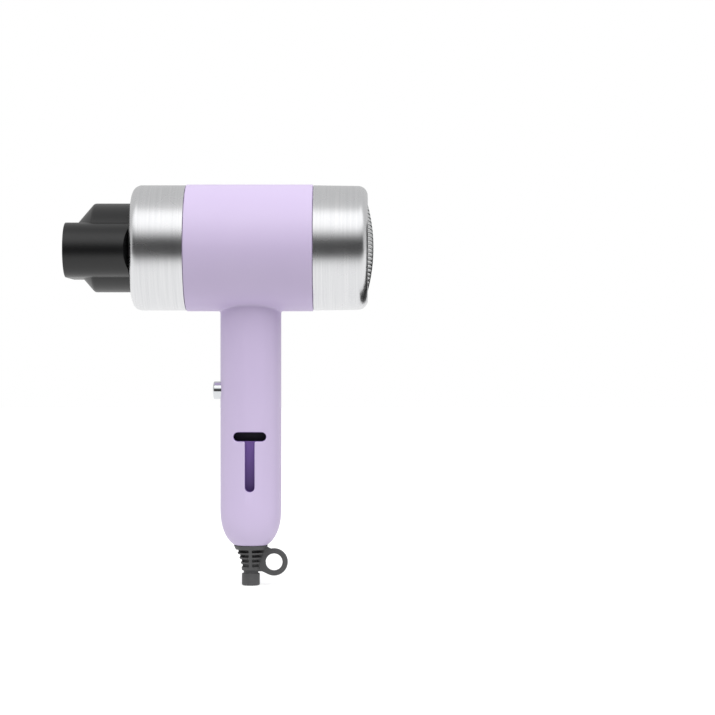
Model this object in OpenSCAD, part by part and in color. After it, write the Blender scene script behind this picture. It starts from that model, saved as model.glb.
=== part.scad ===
// Travel hair dryer with a T-shaped body: a barrel across the top of a straight handle.
// Origin: mouth of the cord outlet, on the handle's axis. +Z runs up the handle,
// +X runs along the barrel from the air outlet to the air inlet.

/* [Barrel] */
// Outer diameter of the plastic sleeve in the middle of the barrel
sleeve_d = 78.5; // [77:0.5:80]
// Distance from the handle's axis to the sleeve's front edge
sleeve_front = 39.6; // [37:0.2:42]
// Distance from the handle's axis to the sleeve's back edge
sleeve_back = 38.6; // [37:0.2:42]
// Outer diameter of the two metal-look end caps
cap_d = 77.5; // [76.6:0.1:78.4]
// Length of the front cap
front_cap_len = 32.9; // [31:0.1:35]
// Length of the rear cap
rear_cap_len = 33.5; // [32:0.1:36]
// Radius of the rounded nose of the front cap
front_fillet = 5.75; // [4:0.25:6]
// Radius of the rounded edge of the rear cap
rear_fillet = 6; // [4:0.25:6]
// Wall thickness of the mouldings
wall = 2.2; // [1.8:0.1:2.4]

/* [Nozzle] */
// Outer diameter of the round collar of the nozzle
collar_d = 55; // [53:0.5:57]
// Length of the round collar
collar_len = 23.3; // [20:0.1:26]
// Length of the cone that opens from the flat mouth to the collar
cone_len = 11.2; // [9:0.1:13]
// Height of the flat mouth
mouth_h = 33.6; // [30:0.2:36]
// Width of the flat mouth across the barrel
mouth_w = 74; // [66:1:76]
// Length of the nozzle in front of the front cap
nozzle_len = 39.4; // [38:0.2:44]
// How far the flat duct sits below the barrel's axis
duct_drop = 2.2; // [0:0.1:3]
// Wall thickness of the nozzle
nozzle_wall = 1.7; // [1.4:0.1:2]

/* [Inlet] */
// Diameter of the air inlet in the rear cap
inlet_d = 64.6; // [63:0.1:65]
// Radius of curvature of the domed inlet mesh
dome_r = 104; // [100:1:140]

/* [Handle] */
// Width of the handle along the barrel
handle_w = 37.6; // [36:0.2:40]
// Thickness of the handle across the barrel
handle_t = 33.8; // [32:0.2:36]
// Distance from the barrel's axis to the flat end of the handle
handle_len = 184.7; // [182:0.1:190]
// Height of the rounded lower end of the handle
end_round_h = 23.7; // [20:0.1:26]

/* [Button] */
// Diameter of the push button
button_d = 11; // [10:0.1:12]
// Height of the button above the cord outlet
button_z = 120.8; // [119:0.1:122]
// How far the button stands out of the handle
button_out = 4.7; // [3.5:0.1:5.5]

/* [Hanging slot] */
// Length of the crossbar of the T
bar_len = 19.8; // [16:0.2:21]
// Width of the crossbar of the T
bar_w = 5.4; // [5:0.1:6]
// Height of the crossbar above the cord outlet
bar_z = 92.4; // [91:0.1:94]
// Width of the stem of the T
stem_w = 5.6; // [5:0.1:6]
// Height of the lower end of the stem above the cord outlet
stem_z = 58.6; // [57:0.1:64]

/* [Strain relief] */
// Length of the strain relief below the handle
relief_len = 24.3; // [23:0.1:26]
// Diameter of the flange against the handle
relief_d = 20.8; // [19:0.1:21]
// Diameter of the bore that the mains cord passes
cord_bore_d = 6.8; // [6:0.1:7]
// Diameter of the hole of the hanging ring
ring_hole_d = 10.4; // [9:0.1:11]
// Outer diameter of the hanging ring
ring_d = 16.6; // [15:0.1:17]
// Thickness of the hanging ring
ring_t = 3.1; // [2.6:0.1:3.6]

/* [Hidden] */

axis_z = relief_len + handle_len;
handle_end = relief_len;
sleeve_r = sleeve_d / 2;
cap_r = cap_d / 2;
handle_r = handle_w / 2;
seam = 0.3;
run = 0.1;
free = 0.3;
far_out = 60;
front_cap_x = -sleeve_front - seam;
rear_cap_x = sleeve_back + seam;
front_face = front_cap_x - front_cap_len;
rear_face = rear_cap_x + rear_cap_len;
spigot_r = cap_r - wall * 0.84;
spigot_len = 7;
outlet_r = 26.2;
outlet_tube = 12;
inlet_r = inlet_d / 2;
mouth_x = front_face - free - nozzle_len;
grille_x = front_face + 15;
switch_face = -8.8;
board_y = 4;
board_t = 1.6;
case_screw_z = [48, 160];
board_screw_at = [[-7.5, 104], [7.5, 147]];
clamp_screw_x = 7.8;
clamp_z = 34.5;
$fn = 96;

lilac = [0.80, 0.73, 0.88];
lilac_dark = [0.42, 0.31, 0.54];
silver = [0.82, 0.83, 0.84];
black_plastic = [0.12, 0.12, 0.13];
steel = [0.70, 0.71, 0.72];
copper = [0.72, 0.45, 0.25];
mica = [0.78, 0.72, 0.55];

// Arc in a profile, from angle a to angle b about (cx, cy)
function arc(cx, cy, r, a, b, steps = 8) =
    [for (i = [0:steps]) let (t = a + (b - a) * i / steps) [cx + r * cos(t), cy + r * sin(t)]];

// Places a shape made about +Z so that it runs along the barrel's axis
module along_barrel(x = 0) {
    translate([x, 0, axis_z])
        rotate([0, 90, 0])
            children();
}

// Solid of revolution about the barrel's axis, from points [radius, x]
module turned(points) {
    along_barrel()
        rotate_extrude()
            polygon(points);
}

// Round bar along the barrel's axis from x0 to x1
module barrel_bar(r, x0, x1) {
    along_barrel(x0)
        cylinder(r = r, h = x1 - x0);
}

// Tube along the barrel's axis from x0 to x1
module barrel_tube(r_out, r_in, x0, x1) {
    turned([[r_in, x0], [r_out, x0], [r_out, x1], [r_in, x1]]);
}

// Round bar across the handle from y0 to y1
module cross_bar(r, x, z, y0, y1) {
    translate([x, y1, z])
        rotate([90, 0, 0])
            cylinder(r = r, h = y1 - y0);
}

// Half-width of the handle at a depth below the start of its rounded end
end_power = 2.4;
function end_reach() =
    end_round_h / pow(1 - pow(relief_d / handle_w, end_power), 1 / end_power);
function handle_half(drop) =
    handle_r * pow(1 - pow(drop / end_reach(), end_power), 1 / end_power);

// Handle body drawn inwards by inset: a round bar with two flats and a rounded lower end
module handle_core(inset) {
    steps = 14;
    bottom = handle_end + inset;
    lower = [for (i = [steps:-1:0])
        let (drop = (end_round_h - inset) * i / steps)
        [handle_half(drop) - inset, handle_end + end_round_h - drop]];
    intersection() {
        rotate_extrude()
            polygon(concat([[0, axis_z], [0, bottom]], lower, [[handle_r - inset, axis_z]]));
        translate([-far_out, -handle_t / 2 + inset, 0])
            cube([2 * far_out, handle_t - 2 * inset, axis_z + 1]);
    }
}

// Outline of the T-shaped hanging slot, grown outwards by grow, as a bar along Y
module slot_prism(grow, y0, y1) {
    bar_r = bar_w / 2 + grow;
    reach = (bar_len - bar_w) / 2;
    for (side = [-1, 1])
        cross_bar(bar_r, side * reach, bar_z, y0, y1);
    translate([-reach, y0, bar_z - bar_r])
        cube([2 * reach, y1 - y0, 2 * bar_r]);
    stem_prism(grow, y0, y1);
}

module stem_prism(grow, y0, y1) {
    stem_r = stem_w / 2 + grow;
    low = stem_z + stem_w / 2;
    cross_bar(stem_r, 0, low, y0, y1);
    translate([-stem_r, y0, low])
        cube([2 * stem_r, y1 - y0, bar_z - low]);
}

// Sleeve of the barrel with a stepped-down spigot at each end for the caps
module sleeve() {
    edge = 0.4;
    front = -sleeve_front;
    back = sleeve_back;
    bore = sleeve_r - wall;
    spigot_bore = spigot_r - wall;
    turned([[sleeve_r - edge, front], [sleeve_r, front + edge],
        [sleeve_r, back - edge], [sleeve_r - edge, back],
        [spigot_r, back], [spigot_r, back + spigot_len],
        [spigot_bore, back + spigot_len], [spigot_bore, back - wall],
        [bore, back - wall], [bore, front + wall],
        [spigot_bore, front + wall], [spigot_bore, front - spigot_len],
        [spigot_r, front - spigot_len], [spigot_r, front]]);
}

// Sleeve and hollow handle in one, before the halves are parted
module body_blank() {
    guide_face = -15.2;
    difference() {
        union() {
            difference() {
                handle_core(0);
                barrel_bar(sleeve_r - 0.8, -handle_w, handle_w);
                handle_core(wall);
            }
            difference() {
                sleeve();
                handle_core(wall);
            }
            intersection() {
                handle_core(1);
                translate([-handle_r, 0, button_z])
                    rotate([0, 90, 0])
                        cylinder(r = button_d / 2 + 2.5, h = handle_r + guide_face);
            }
        }
        translate([-handle_r - 2, 0, button_z])
            rotate([0, 90, 0])
                cylinder(r = button_d / 2 + run, h = handle_r);
        translate([0, 0, handle_end - 1])
            cylinder(r = 6.7, h = wall + 3);
    }
}

// Pillar for a self-tapping screw, from the wall at y0 to y1
module screw_pillar(r, x, z, y0, y1) {
    intersection() {
        handle_core(0.8);
        cross_bar(r, x, z, y0, y1);
    }
}

// Near half of the body: carries the T-shaped slot
module body_shell_near() {
    color(lilac)
        difference() {
            union() {
                intersection() {
                    body_blank();
                    translate([-far_out, -far_out, 0])
                        cube([2 * far_out, far_out, 2 * axis_z]);
                }
                for (z = case_screw_z)
                    screw_pillar(3.2, 0, z, -handle_t / 2, 0);
            }
            slot_prism(0, -handle_t, -2);
            for (z = case_screw_z)
                cross_bar(1.5, 0, z, -13, 1);
        }
}

// Far half of the body: carries the screws, the switch board and the cord clamp
module body_shell_far() {
    pillar_tip = -2.4;
    color(lilac)
        difference() {
            union() {
                intersection() {
                    body_blank();
                    translate([-far_out, 0, 0])
                        cube([2 * far_out, far_out, 2 * axis_z]);
                }
                for (z = case_screw_z)
                    screw_pillar(4.6, 0, z, 0, handle_t / 2);
                for (at = board_screw_at)
                    screw_pillar(2.6, at[0], at[1], board_y + board_t, handle_t / 2);
                for (side = [-1, 1])
                    screw_pillar(2.4, side * clamp_screw_x, clamp_z, pillar_tip, handle_t / 2);
            }
            for (z = case_screw_z) {
                cross_bar(1.7, 0, z, -1, handle_t);
                cross_bar(3.1, 0, z, 8, handle_t);
            }
            for (at = board_screw_at)
                cross_bar(1.1, at[0], at[1], board_y, 13);
            for (side = [-1, 1])
                cross_bar(0.95, side * clamp_screw_x, clamp_z, pillar_tip - 1, 9);
        }
}

// Bright end cap round the air outlet, pushed over the front spigot
module front_cap() {
    r = cap_r;
    f = front_fillet;
    skin = spigot_r + 0.25;
    shoulder = r - f;
    color(silver)
        turned(concat(
            [[skin, front_cap_x], [r, front_cap_x]],
            arc(shoulder, front_face + f, f, 0, -90),
            [[outlet_r + 0.5, front_face], [outlet_r, front_face + 0.5],
            [outlet_r, front_face + outlet_tube], [outlet_r + 1.8, front_face + outlet_tube],
            [outlet_r + 1.8, front_face + 1.9], [shoulder, front_face + 1.9]],
            arc(shoulder, front_face + f, skin - shoulder, -70, 0, 6)));
}

// Bright end cap round the air inlet, pushed over the rear spigot
module rear_cap() {
    f = rear_fillet;
    taper = 0.4;
    r = cap_r - taper;
    skin = spigot_r + 0.25;
    inner = skin - taper;
    rise = inner - (r - f);
    color(silver)
        turned(concat(
            [[skin, rear_cap_x], [cap_r, rear_cap_x]],
            arc(r - f, rear_face - f, f, 0, 90),
            [[inlet_r, rear_face], [inlet_r, rear_face - 10.4],
            [inlet_r + 1.7, rear_face - 10.4], [inlet_r + 1.7, rear_face - 3.5]],
            arc(r - f, rear_face - f, rise, 50, 0, 5),
            [[skin, rear_face - 12]]));
}

// Guard of rings and slightly thinner spokes about the barrel's axis, from x0 to x1
module guard(r, x0, x1, rings, spokes, bar) {
    sunk = 0.2;
    pitch = (r - bar / 2) / rings;
    for (i = [1:rings])
        barrel_tube(i * pitch + bar / 2, i * pitch - bar / 2, x0, x1);
    barrel_bar(pitch / 2, x0, x1);
    for (i = [0:spokes - 1])
        along_barrel(x0 + sunk)
            rotate(360 * i / spokes)
                translate([pitch / 4, -bar / 2, 0])
                    cube([r - pitch / 4 - bar / 2, bar, x1 - x0 - 2 * sunk]);
}

// Heat-proof grille behind the air outlet, seated on the end of the outlet tube
module outlet_grille() {
    x0 = front_face + outlet_tube + 0.1;
    r = outlet_r + 1.8;
    color(black_plastic)
        guard(r, x0, x0 + 2, 4, 6, 1.6);
}

// Flat duct with round ends, drawn inwards by inset, from x0 back to x1
module flat_duct(inset, x0, x1) {
    r = mouth_h / 2 - inset;
    reach = (mouth_w - mouth_h) / 2;
    translate([x0, 0, axis_z - duct_drop])
        rotate([0, 90, 0])
            linear_extrude(x1 - x0)
                union() {
                    square([2 * r, 2 * reach], center = true);
                    for (side = [-1, 1])
                        translate([0, side * reach])
                            circle(r);
                }
}

// Air concentrator: a round collar that runs into a wide flat duct
module nozzle() {
    back = front_face - free;
    collar_x = back - collar_len;
    cone_x = collar_x - cone_len;
    cone_r = mouth_h / 2 - duct_drop;
    ear_cut = 5.5;
    ear_slant = 25;
    ear_wall = 3.5;
    r = collar_d / 2;
    neck_r = outlet_r - free;
    neck_back = front_face + outlet_tube - 1.2;
    groove_x = neck_back - 3.2;
    inner = r - nozzle_wall;
    color(black_plastic)
        difference() {
            union() {
                turned([[0, cone_x], [cone_r, cone_x], [r, collar_x],
                    [r, back], [neck_r, back], [neck_r, groove_x],
                    [neck_r - 0.9, groove_x], [neck_r - 0.9, groove_x + 2.2],
                    [neck_r, groove_x + 2.2], [neck_r, neck_back - 0.4],
                    [neck_r - 0.4, neck_back], [0, neck_back]]);
                difference() {
                    flat_duct(0, mouth_x, back);
                    for (side = [-1, 1])
                        translate([back, side * (mouth_w / 2 - ear_cut), axis_z - collar_d])
                            rotate(side * ear_slant)
                                translate([0, side > 0 ? 0 : -20, 0])
                                    cube([20, 20, 2 * collar_d]);
                }
            }
            turned([[0, cone_x - 1], [cone_r - nozzle_wall, cone_x],
                [inner - 0.4, collar_x], [inner - 0.4, back - 3], [neck_r - 2.2, back],
                [neck_r - 2.2, neck_back + 1], [0, neck_back + 1]]);
            difference() {
                flat_duct(nozzle_wall, mouth_x - 1, back - ear_wall);
                for (side = [-1, 1])
                    translate([back - ear_wall + 0.5, side * (mouth_w / 2 - ear_cut - 1),
                        axis_z - collar_d])
                        rotate(side * ear_slant)
                            translate([0, side > 0 ? 0 : -20, 0])
                                cube([20, 20, 2 * collar_d]);
            }
        }
}

// Split spring-steel ring in the neck's groove: it grips the outlet tube
module nozzle_snap_ring() {
    x0 = front_face + outlet_tube - 1.2 - 3.2 + 0.1;
    split = 6;
    color(steel)
        difference() {
            barrel_tube(outlet_r - 0.08, outlet_r - free - 0.82, x0, x0 + 2);
            translate([x0 - 1, -split / 2, axis_z])
                cube([4, split, outlet_r + 2]);
        }
}

// Push-in rim of the removable inlet filter
module filter_rim() {
    r = inlet_r - free;
    depth = 10;
    x1 = rear_face - 0.2;
    color(black_plastic)
        turned([[r - 1.8, x1 - depth], [r - 0.4, x1 - depth], [r, x1 - depth + 0.4],
            [r, x1 - 0.4], [r - 0.4, x1], [r - 1.8, x1]]);
}

// Domed metal mesh over the air inlet
module filter_mesh() {
    r = inlet_r - free - 1.8;
    skin = 0.8;
    base_x = rear_face - 0.9;
    centre_x = base_x - sqrt(dome_r * dome_r - r * r);
    color(steel)
        intersection() {
            guard(r, base_x - 4, base_x + 8, 6, 18, 1.4);
            difference() {
                barrel_bar(r, base_x - 1, base_x + 8);
                translate([centre_x, 0, axis_z])
                    sphere(dome_r - skin, $fn = 200);
            }
            translate([centre_x, 0, axis_z])
                sphere(dome_r, $fn = 200);
        }
}

// Fine gauze that keeps lint out of the fan
module lint_screen() {
    r = inlet_r - free - 1.8;
    x0 = rear_face - 9;
    color([0.25, 0.25, 0.26])
        barrel_bar(r, x0, x0 + 0.8);
}

// Fan housing: outer tube, five stator vanes and the cup that holds the motor
module fan_duct() {
    x0 = 18;
    x1 = 60;
    r = 31;
    cup_back = 47;
    flange_x = sleeve_back - wall - 1;
    color([0.85, 0.83, 0.78])
        union() {
            barrel_tube(r, r - 1.8, x0, x1);
            barrel_tube(spigot_r - wall - 0.2, r - 0.3, flange_x, flange_x + 2.4);
            barrel_tube(16.4, 14.5, 22, cup_back);
            for (i = [0:4])
                along_barrel(24)
                    rotate(72 * i + 18)
                        translate([15.4, -0.8, 0])
                            cube([r - 16.2, 1.6, 20]);
        }
}

// Nine-bladed axial impeller with a deep hub
module impeller() {
    x0 = 49.5;
    hub_h = 9;
    hub_r = 10;
    tip_r = 28.6;
    color([0.22, 0.22, 0.24])
        difference() {
            union() {
                barrel_bar(hub_r, x0, x0 + hub_h);
                intersection() {
                    barrel_bar(tip_r, x0, x0 + hub_h);
                    for (i = [0:8])
                        along_barrel(x0 + hub_h / 2)
                            rotate(40 * i)
                                rotate([38, 0, 0])
                                    translate([hub_r - 1, -0.6, -hub_h])
                                        cube([tip_r, 1.2, 2 * hub_h]);
                }
            }
            barrel_bar(hub_r - 1.8, x0 - 1, x0 + hub_h - 2);
            barrel_bar(1, x0 - 1, x0 + hub_h + 1);
        }
}

// Steel motor shaft
module motor_shaft() {
    color(steel)
        barrel_bar(1, 9, 58.5);
}

// Laminated rotor core with three slots
module motor_armature() {
    color([0.5, 0.5, 0.52])
        difference() {
            barrel_bar(9, 21, 40);
            barrel_bar(1, 20, 41);
            for (i = [0:2])
                along_barrel(20)
                    rotate(120 * i)
                        translate([4, -1.5, 0])
                            cube([6, 3, 21]);
        }
}

// Copper commutator on the shaft
module motor_commutator() {
    color(copper)
        difference() {
            barrel_bar(3, 15.5, 19.5);
            barrel_bar(1, 15, 20);
        }
}

// Drawn steel motor can, open at the brush end
module motor_can() {
    color(steel)
        turned([[13.8, 12], [13.8, 47.2], [3.1, 47.2], [3.1, 46], [12.8, 46], [12.8, 12]]);
}

// Two arc magnets glued inside the can
module motor_magnets() {
    color([0.2, 0.2, 0.2])
        difference() {
            barrel_tube(12.7, 9.5, 22, 42);
            translate([20, -4, axis_z - 20])
                cube([24, 8, 40]);
        }
}

// Plastic brush holder that closes the can
module motor_end_cap() {
    color(black_plastic)
        difference() {
            union() {
                barrel_bar(12.7, 11.8, 14);
                barrel_bar(13.6, 10.4, 11.9);
            }
            barrel_bar(3.1, 10, 15);
        }
}

// Sintered bronze bushes at both ends of the motor
module motor_bushes() {
    color(copper)
        for (x0 = [10.6, 43.8])
            barrel_tube(3, 1.05, x0, x0 + 3.2);
}

// Rubber band between the motor and its cup
module motor_damper() {
    color([0.15, 0.15, 0.15])
        barrel_tube(14.4, 13.9, 26, 42);
}

// Two brass tabs on the brush holder
module motor_terminals() {
    color([0.8, 0.66, 0.35])
        for (side = [-1, 1])
            translate([6.4, side * 8 - 1.2, axis_z - 0.3])
                cube([3.9, 2.4, 0.6]);
}

// Insulating mica sleeve round the heater
module mica_sleeve() {
    color(mica)
        barrel_tube(29.2, 28.7, grille_x - 0.5, 12);
}

// Heater board seen side on: long middle with a wide tab at each end
module heater_board(slot_from, slot_to) {
    x0 = grille_x + 1;
    x1 = 3;
    tab = 3;
    middle = 23.2;
    ends = 28.4;
    t = 0.8;
    rotate([90, 0, 0])
        translate([0, 0, -t / 2])
            linear_extrude(t)
                difference() {
                    union() {
                        translate([x0, -middle])
                            square([x1 - x0, 2 * middle]);
                        for (x = [x0, x1 - tab])
                            translate([x, -ends])
                                square([tab, 2 * ends]);
                    }
                    translate([slot_from, -t / 2 - 0.05])
                        square([slot_to - slot_from, t + 0.1]);
                }
}

// The two mica boards slot into each other and carry the coils
module mica_board_upright() {
    color(mica)
        translate([0, 0, axis_z])
            heater_board(-80, -28);
}

module mica_board_flat() {
    color(mica)
        translate([0, 0, axis_z])
            rotate([90, 0, 0])
                heater_board(-28, 20);
}

// Tube of radius r along a list of points, with ref never along the path
function unit(v) = v / norm(v);
module swept(path, r, ref, sides) {
    n = len(path);
    function tangent(i) = unit(path[min(i + 1, n - 1)] - path[max(i - 1, 0)]);
    function ring(i) =
        let (t = tangent(i), a = unit(cross(t, ref)), b = cross(t, a))
        [for (k = [0:sides - 1]) path[i] + r * (cos(360 * k / sides) * a + sin(360 * k / sides) * b)];
    points = [for (i = [0:n - 1]) each ring(i)];
    walls = [for (i = [0:n - 2]) for (k = [0:sides - 1])
        let (a = i * sides + k, b = i * sides + (k + 1) % sides)
        each [[a, a + sides, b], [b, a + sides, b + sides]]];
    first = [for (k = [0:sides - 1]) k];
    last = [for (k = [sides - 1:-1:0]) (n - 1) * sides + k];
    polyhedron(points = points, faces = concat([first], walls, [last]));
}

// Smooth curve through hand-set points, steps to a span
function curve_at(p0, p1, p2, p3, t) =
    0.5 * (2 * p1 + (p2 - p0) * t + (2 * p0 - 5 * p1 + 4 * p2 - p3) * t * t
    + (3 * p1 - p0 - 3 * p2 + p3) * t * t * t);
function smooth(p, steps = 4) =
    let (last = len(p) - 1)
    concat([for (i = [0:last - 1]) for (s = [0:steps - 1])
        curve_at(p[max(i - 1, 0)], p[i], p[i + 1], p[min(i + 2, last)], s / steps)], [p[last]]);

// Points of a coil about the barrel's axis
function coil(r, x0, x1, turns, per_turn) =
    [for (i = [0:turns * per_turn])
        let (a = 360 * i / per_turn)
        [x0 + (x1 - x0) * i / (turns * per_turn), r * cos(a), axis_z + r * sin(a)]];

module heater_coil_main() {
    color(steel)
        swept(coil(24, -52, -15, 11, 20), 0.5, [1, 0, 0], 6);
}

module heater_coil_fan() {
    color(steel)
        swept(coil(24, -9.5, -2.5, 3, 20), 0.4, [1, 0, 0], 6);
}

// Bimetal thermostat clamped to the flat board
module thermostat() {
    color([0.85, 0.82, 0.75])
        translate([-10, 4, axis_z + 0.45]) {
            cube([5, 7, 3.2]);
            translate([5, 1.5, 1])
                cube([6, 4, 0.5]);
        }
}

// One-shot thermal fuse under the flat board
module thermal_fuse() {
    color([0.9, 0.9, 0.88])
        translate([-12, 7, axis_z - 2.3])
            rotate([0, 90, 0]) {
                cylinder(r = 1.7, h = 9);
                translate([0, 0, -3])
                    cylinder(r = 0.4, h = 15);
            }
}

// Circuit board behind the button
module switch_board() {
    color([0.16, 0.42, 0.24])
        difference() {
            translate([-11, board_y, 100])
                cube([22, board_t, 51]);
            for (at = board_screw_at)
                cross_bar(1.7, at[0], at[1], board_y - 1, board_y + board_t + 1);
        }
}

// Push switch behind the button
module micro_switch() {
    depth = 12;
    plunger_r = 1.25;
    color([0.1, 0.1, 0.1])
        difference() {
            translate([switch_face, -4.5, button_z - 6])
                cube([depth, 4.4 + board_y, 12]);
            translate([switch_face - 1, 0, button_z])
                rotate([0, 90, 0])
                    cylinder(r = plunger_r, h = 7);
        }
}

module switch_plunger() {
    color([0.9, 0.9, 0.9])
        translate([-10.6, 0, button_z])
            rotate([0, 90, 0])
                cylinder(r = 1.2, h = 5);
}

// Bright push button with a retaining flange and a stem
module power_button() {
    r = button_d / 2;
    face = -handle_r - button_out;
    dome = 0.45;
    edge = 0.9;
    color([0.9, 0.9, 0.92])
        translate([0, 0, button_z])
            rotate([0, 90, 0])
                rotate_extrude()
                    polygon(concat(
                        [[0, face], [r * 0.45, face + dome * 0.2], [r - edge, face + dome]],
                        arc(r - edge, face + dome + edge, edge, -80, 0, 5),
                        [[r, -15], [r + 1.1, -15], [r + 1.1, -13.7], [2, -13.7],
                        [2, -10.7], [0, -10.7]]));
}

// Return spring round the button's stem
module button_spring() {
    turns = 3;
    per_turn = 16;
    x0 = -13.2;
    x1 = switch_face - 0.5;
    path = [for (i = [0:turns * per_turn])
        let (a = 360 * i / per_turn)
        [x0 + (x1 - x0) * i / (turns * per_turn), 3.4 * cos(a), button_z + 3.4 * sin(a)]];
    color(steel)
        swept(path, 0.35, [1, 0, 0], 8);
}

// Film capacitor across the motor
module noise_capacitor() {
    color([0.75, 0.62, 0.2])
        translate([-3, -4, 105.4])
            cube([12, 4 + board_y - 0.1, 7]);
}

// Four diodes of the motor's rectifier
module rectifier_diodes() {
    color([0.18, 0.18, 0.18])
        for (i = [0:3])
            translate([-8, board_y - 1.5, 130.5 + 3.6 * i])
                rotate([0, 90, 0])
                    cylinder(r = 1.35, h = 5);
}

// Tray behind the T-shaped slot: deep under the crossbar, shallow under the stem
module slot_tray() {
    skin = 1.2;
    front = -handle_t / 2;
    bar_floor = front + 9;
    top_floor = front + 3.6;
    low_floor = front + 6.2;
    color(lilac_dark)
        intersection() {
            handle_core(wall + 0.1);
            difference() {
                union() {
                    stem_prism(skin, front, low_floor + skin);
                    intersection() {
                        slot_prism(skin, front, bar_floor + skin);
                        translate([-far_out, front, bar_z - bar_w / 2 - skin])
                            cube([2 * far_out, handle_t, far_out]);
                    }
                }
                intersection() {
                    slot_prism(0, front - 1, bar_floor);
                    translate([-far_out, front - 1, bar_z - bar_w / 2])
                        cube([2 * far_out, handle_t, far_out]);
                }
                intersection() {
                    stem_prism(0, front - 1, low_floor + 1);
                    translate([-far_out, 0, 0])
                        rotate([90, 0, 90])
                            linear_extrude(2 * far_out)
                                polygon([[front - 1, stem_z - 1], [low_floor, stem_z - 1],
                                    [top_floor, bar_z], [front - 1, bar_z]]);
                }
            }
        }
}

// Ribbed rubber strain relief with its moulded-on hanging ring
module strain_relief() {
    bore = cord_bore_d / 2;
    low_r = 5.6;
    sleeve = bore + 0.9;
    ring_x = 14.4;
    ring_z = 14.4;
    slot_h = 1.3;
    rib = 2.4;
    slots = [[20.4, 7.6], [17.5, 6.4], [14.6, 5.5], [11.7, 5]];
    outline = [[0, 0], [low_r - 0.6, 0], [low_r, 0.6], [low_r, 6.5], [low_r - 0.1, 9],
        [5.8, 11.5], [6.2, 14], [6.8, 16.4], [7.75, 19], [8.9, 21.4], [9.9, relief_len - 1],
        [relief_d / 2, relief_len - 0.3], [6.5, relief_len - 0.3],
        [6.5, handle_end + wall + 0.2], [9.3, handle_end + wall + 0.2],
        [9.3, handle_end + wall + 2.6], [0, handle_end + wall + 2.6]];
    color([0.38, 0.38, 0.39])
        difference() {
            union() {
                difference() {
                    rotate_extrude()
                        polygon(outline);
                    for (slot = slots)
                        translate([0, 0, slot[0] - slot_h / 2])
                            difference() {
                                cylinder(r = 12, h = slot_h);
                                translate([0, 0, -1])
                                    cylinder(r = sleeve, h = 4);
                                translate([-rib / 2, -13, -1])
                                    cube([rib, 26, 4]);
                                translate([-slot[1], -rib / 2, -1])
                                    cube([slot[1], rib, 4]);
                            }
                    translate([0, 0, 8.4 - slot_h / 2])
                        difference() {
                            cylinder(r = 12, h = slot_h);
                            translate([0, 0, -1])
                                cylinder(r = sleeve, h = 4);
                        }
                }
                translate([0, ring_t / 2, 0])
                    rotate([90, 0, 0])
                        linear_extrude(ring_t)
                            difference() {
                                union() {
                                    translate([ring_x, ring_z])
                                        circle(d = ring_d);
                                    polygon([[bore + 0.4, 8.4], [7, 8.6], [11.5, 6.8],
                                        [ring_x, ring_z], [13, 22.4], [9.6, 23.1],
                                        [bore + 0.4, 23.1]]);
                                }
                                translate([ring_x, ring_z])
                                    circle(d = ring_hole_d);
                            }
            }
            translate([0, 0, -1])
                cylinder(r = bore, h = 40);
        }
}

// Bar that presses the cord against its seat
module cord_clamp() {
    color([0.9, 0.88, 0.82])
        difference() {
            translate([-10.4, -5.4, clamp_z - 2.5])
                cube([20.8, 2.8, 5]);
            for (side = [-1, 1])
                cross_bar(1.2, side * clamp_screw_x, clamp_z, -6, -2);
        }
}

// Self-tapping screw along +Y, with a recessed pan head at y0
module tapping_screw(r, x, z, y0, length, head_r, head_h, way) {
    y1 = y0 + way * length;
    head = y0 - way * head_h;
    difference() {
        union() {
            cross_bar(r, x, z, min(y0, y1), max(y0, y1));
            cross_bar(head_r, x, z, min(y0, head), max(y0, head));
        }
        for (turn = [0, 90])
            translate([x, head, z])
                rotate([0, turn, 0])
                    cube([head_r * 1.2, 1.2, 0.5], center = true);
    }
}

module clamp_screws() {
    color(steel)
        for (side = [-1, 1])
            tapping_screw(0.9, side * clamp_screw_x, clamp_z, -5.5, 13, 2, 1.3, 1);
}

module case_screws() {
    color(steel)
        for (z = case_screw_z)
            tapping_screw(1.45, 0, z, 8.05, 18, 2.8, 1.8, -1);
}

module board_screws() {
    color(steel)
        for (at = board_screw_at)
            tapping_screw(1.05, at[0], at[1], board_y - 0.1, 8, 2.3, 1.4, 1);
}

// Crimp sleeves that join the cord's cores to the leads
module crimp_sleeves() {
    color([0.85, 0.25, 0.2])
        for (side = [-1, 1])
            translate([side * 7.4, 0, 40])
                cylinder(r = 1.8, h = 7);
}

module mains_leads() {
    color([0.45, 0.25, 0.15])
        for (side = [-1, 1])
            swept(smooth([[side * 7.4, 0, 47.1], [side * 7.4, 0, 54], [side * 6.5, 0.5, 70],
                [side * 5, 1.5, 88], [side * 3.5, 2.4, 97], [side * 3.5, 2.8, 102.5]]),
                0.9, [0, 1, 0], 8);
}

module heater_leads() {
    color([0.85, 0.85, 0.85])
        for (side = [-1, 1])
            swept(smooth([[side * 1.6 + 8, 2.8, 136], [side * 1.6 + 8, 0.4, 145],
                [side * 1.6 + 8, 0.4, 156], [side + 9.6, side * 1.6, 166], [14.2, side * 2, 176],
                [14.8, side * 2.2, 182], [10, side * 2.6, 186.5], [3.3, side * 2.6, 188]]),
                0.8, [0, 1, 0], 8);
}

module motor_leads() {
    color([0.7, 0.12, 0.1])
        for (side = [-1, 1])
            swept(smooth([[side * 1.6 - 8, 2.8, 146], [side * 1.6 - 8, 1.6, 155],
                [side - 7, side * 4, 165], [side - 2, side * 7, 174], [7, side * 9.2, 177.6],
                [14.6, side * 9.5, 182], [12.6, side * 9.5, 187], [8, side * 9.5, 197],
                [7.6, side * 8.4, 208.2]]),
                0.8, [0, 1, 0], 8);
}

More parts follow.
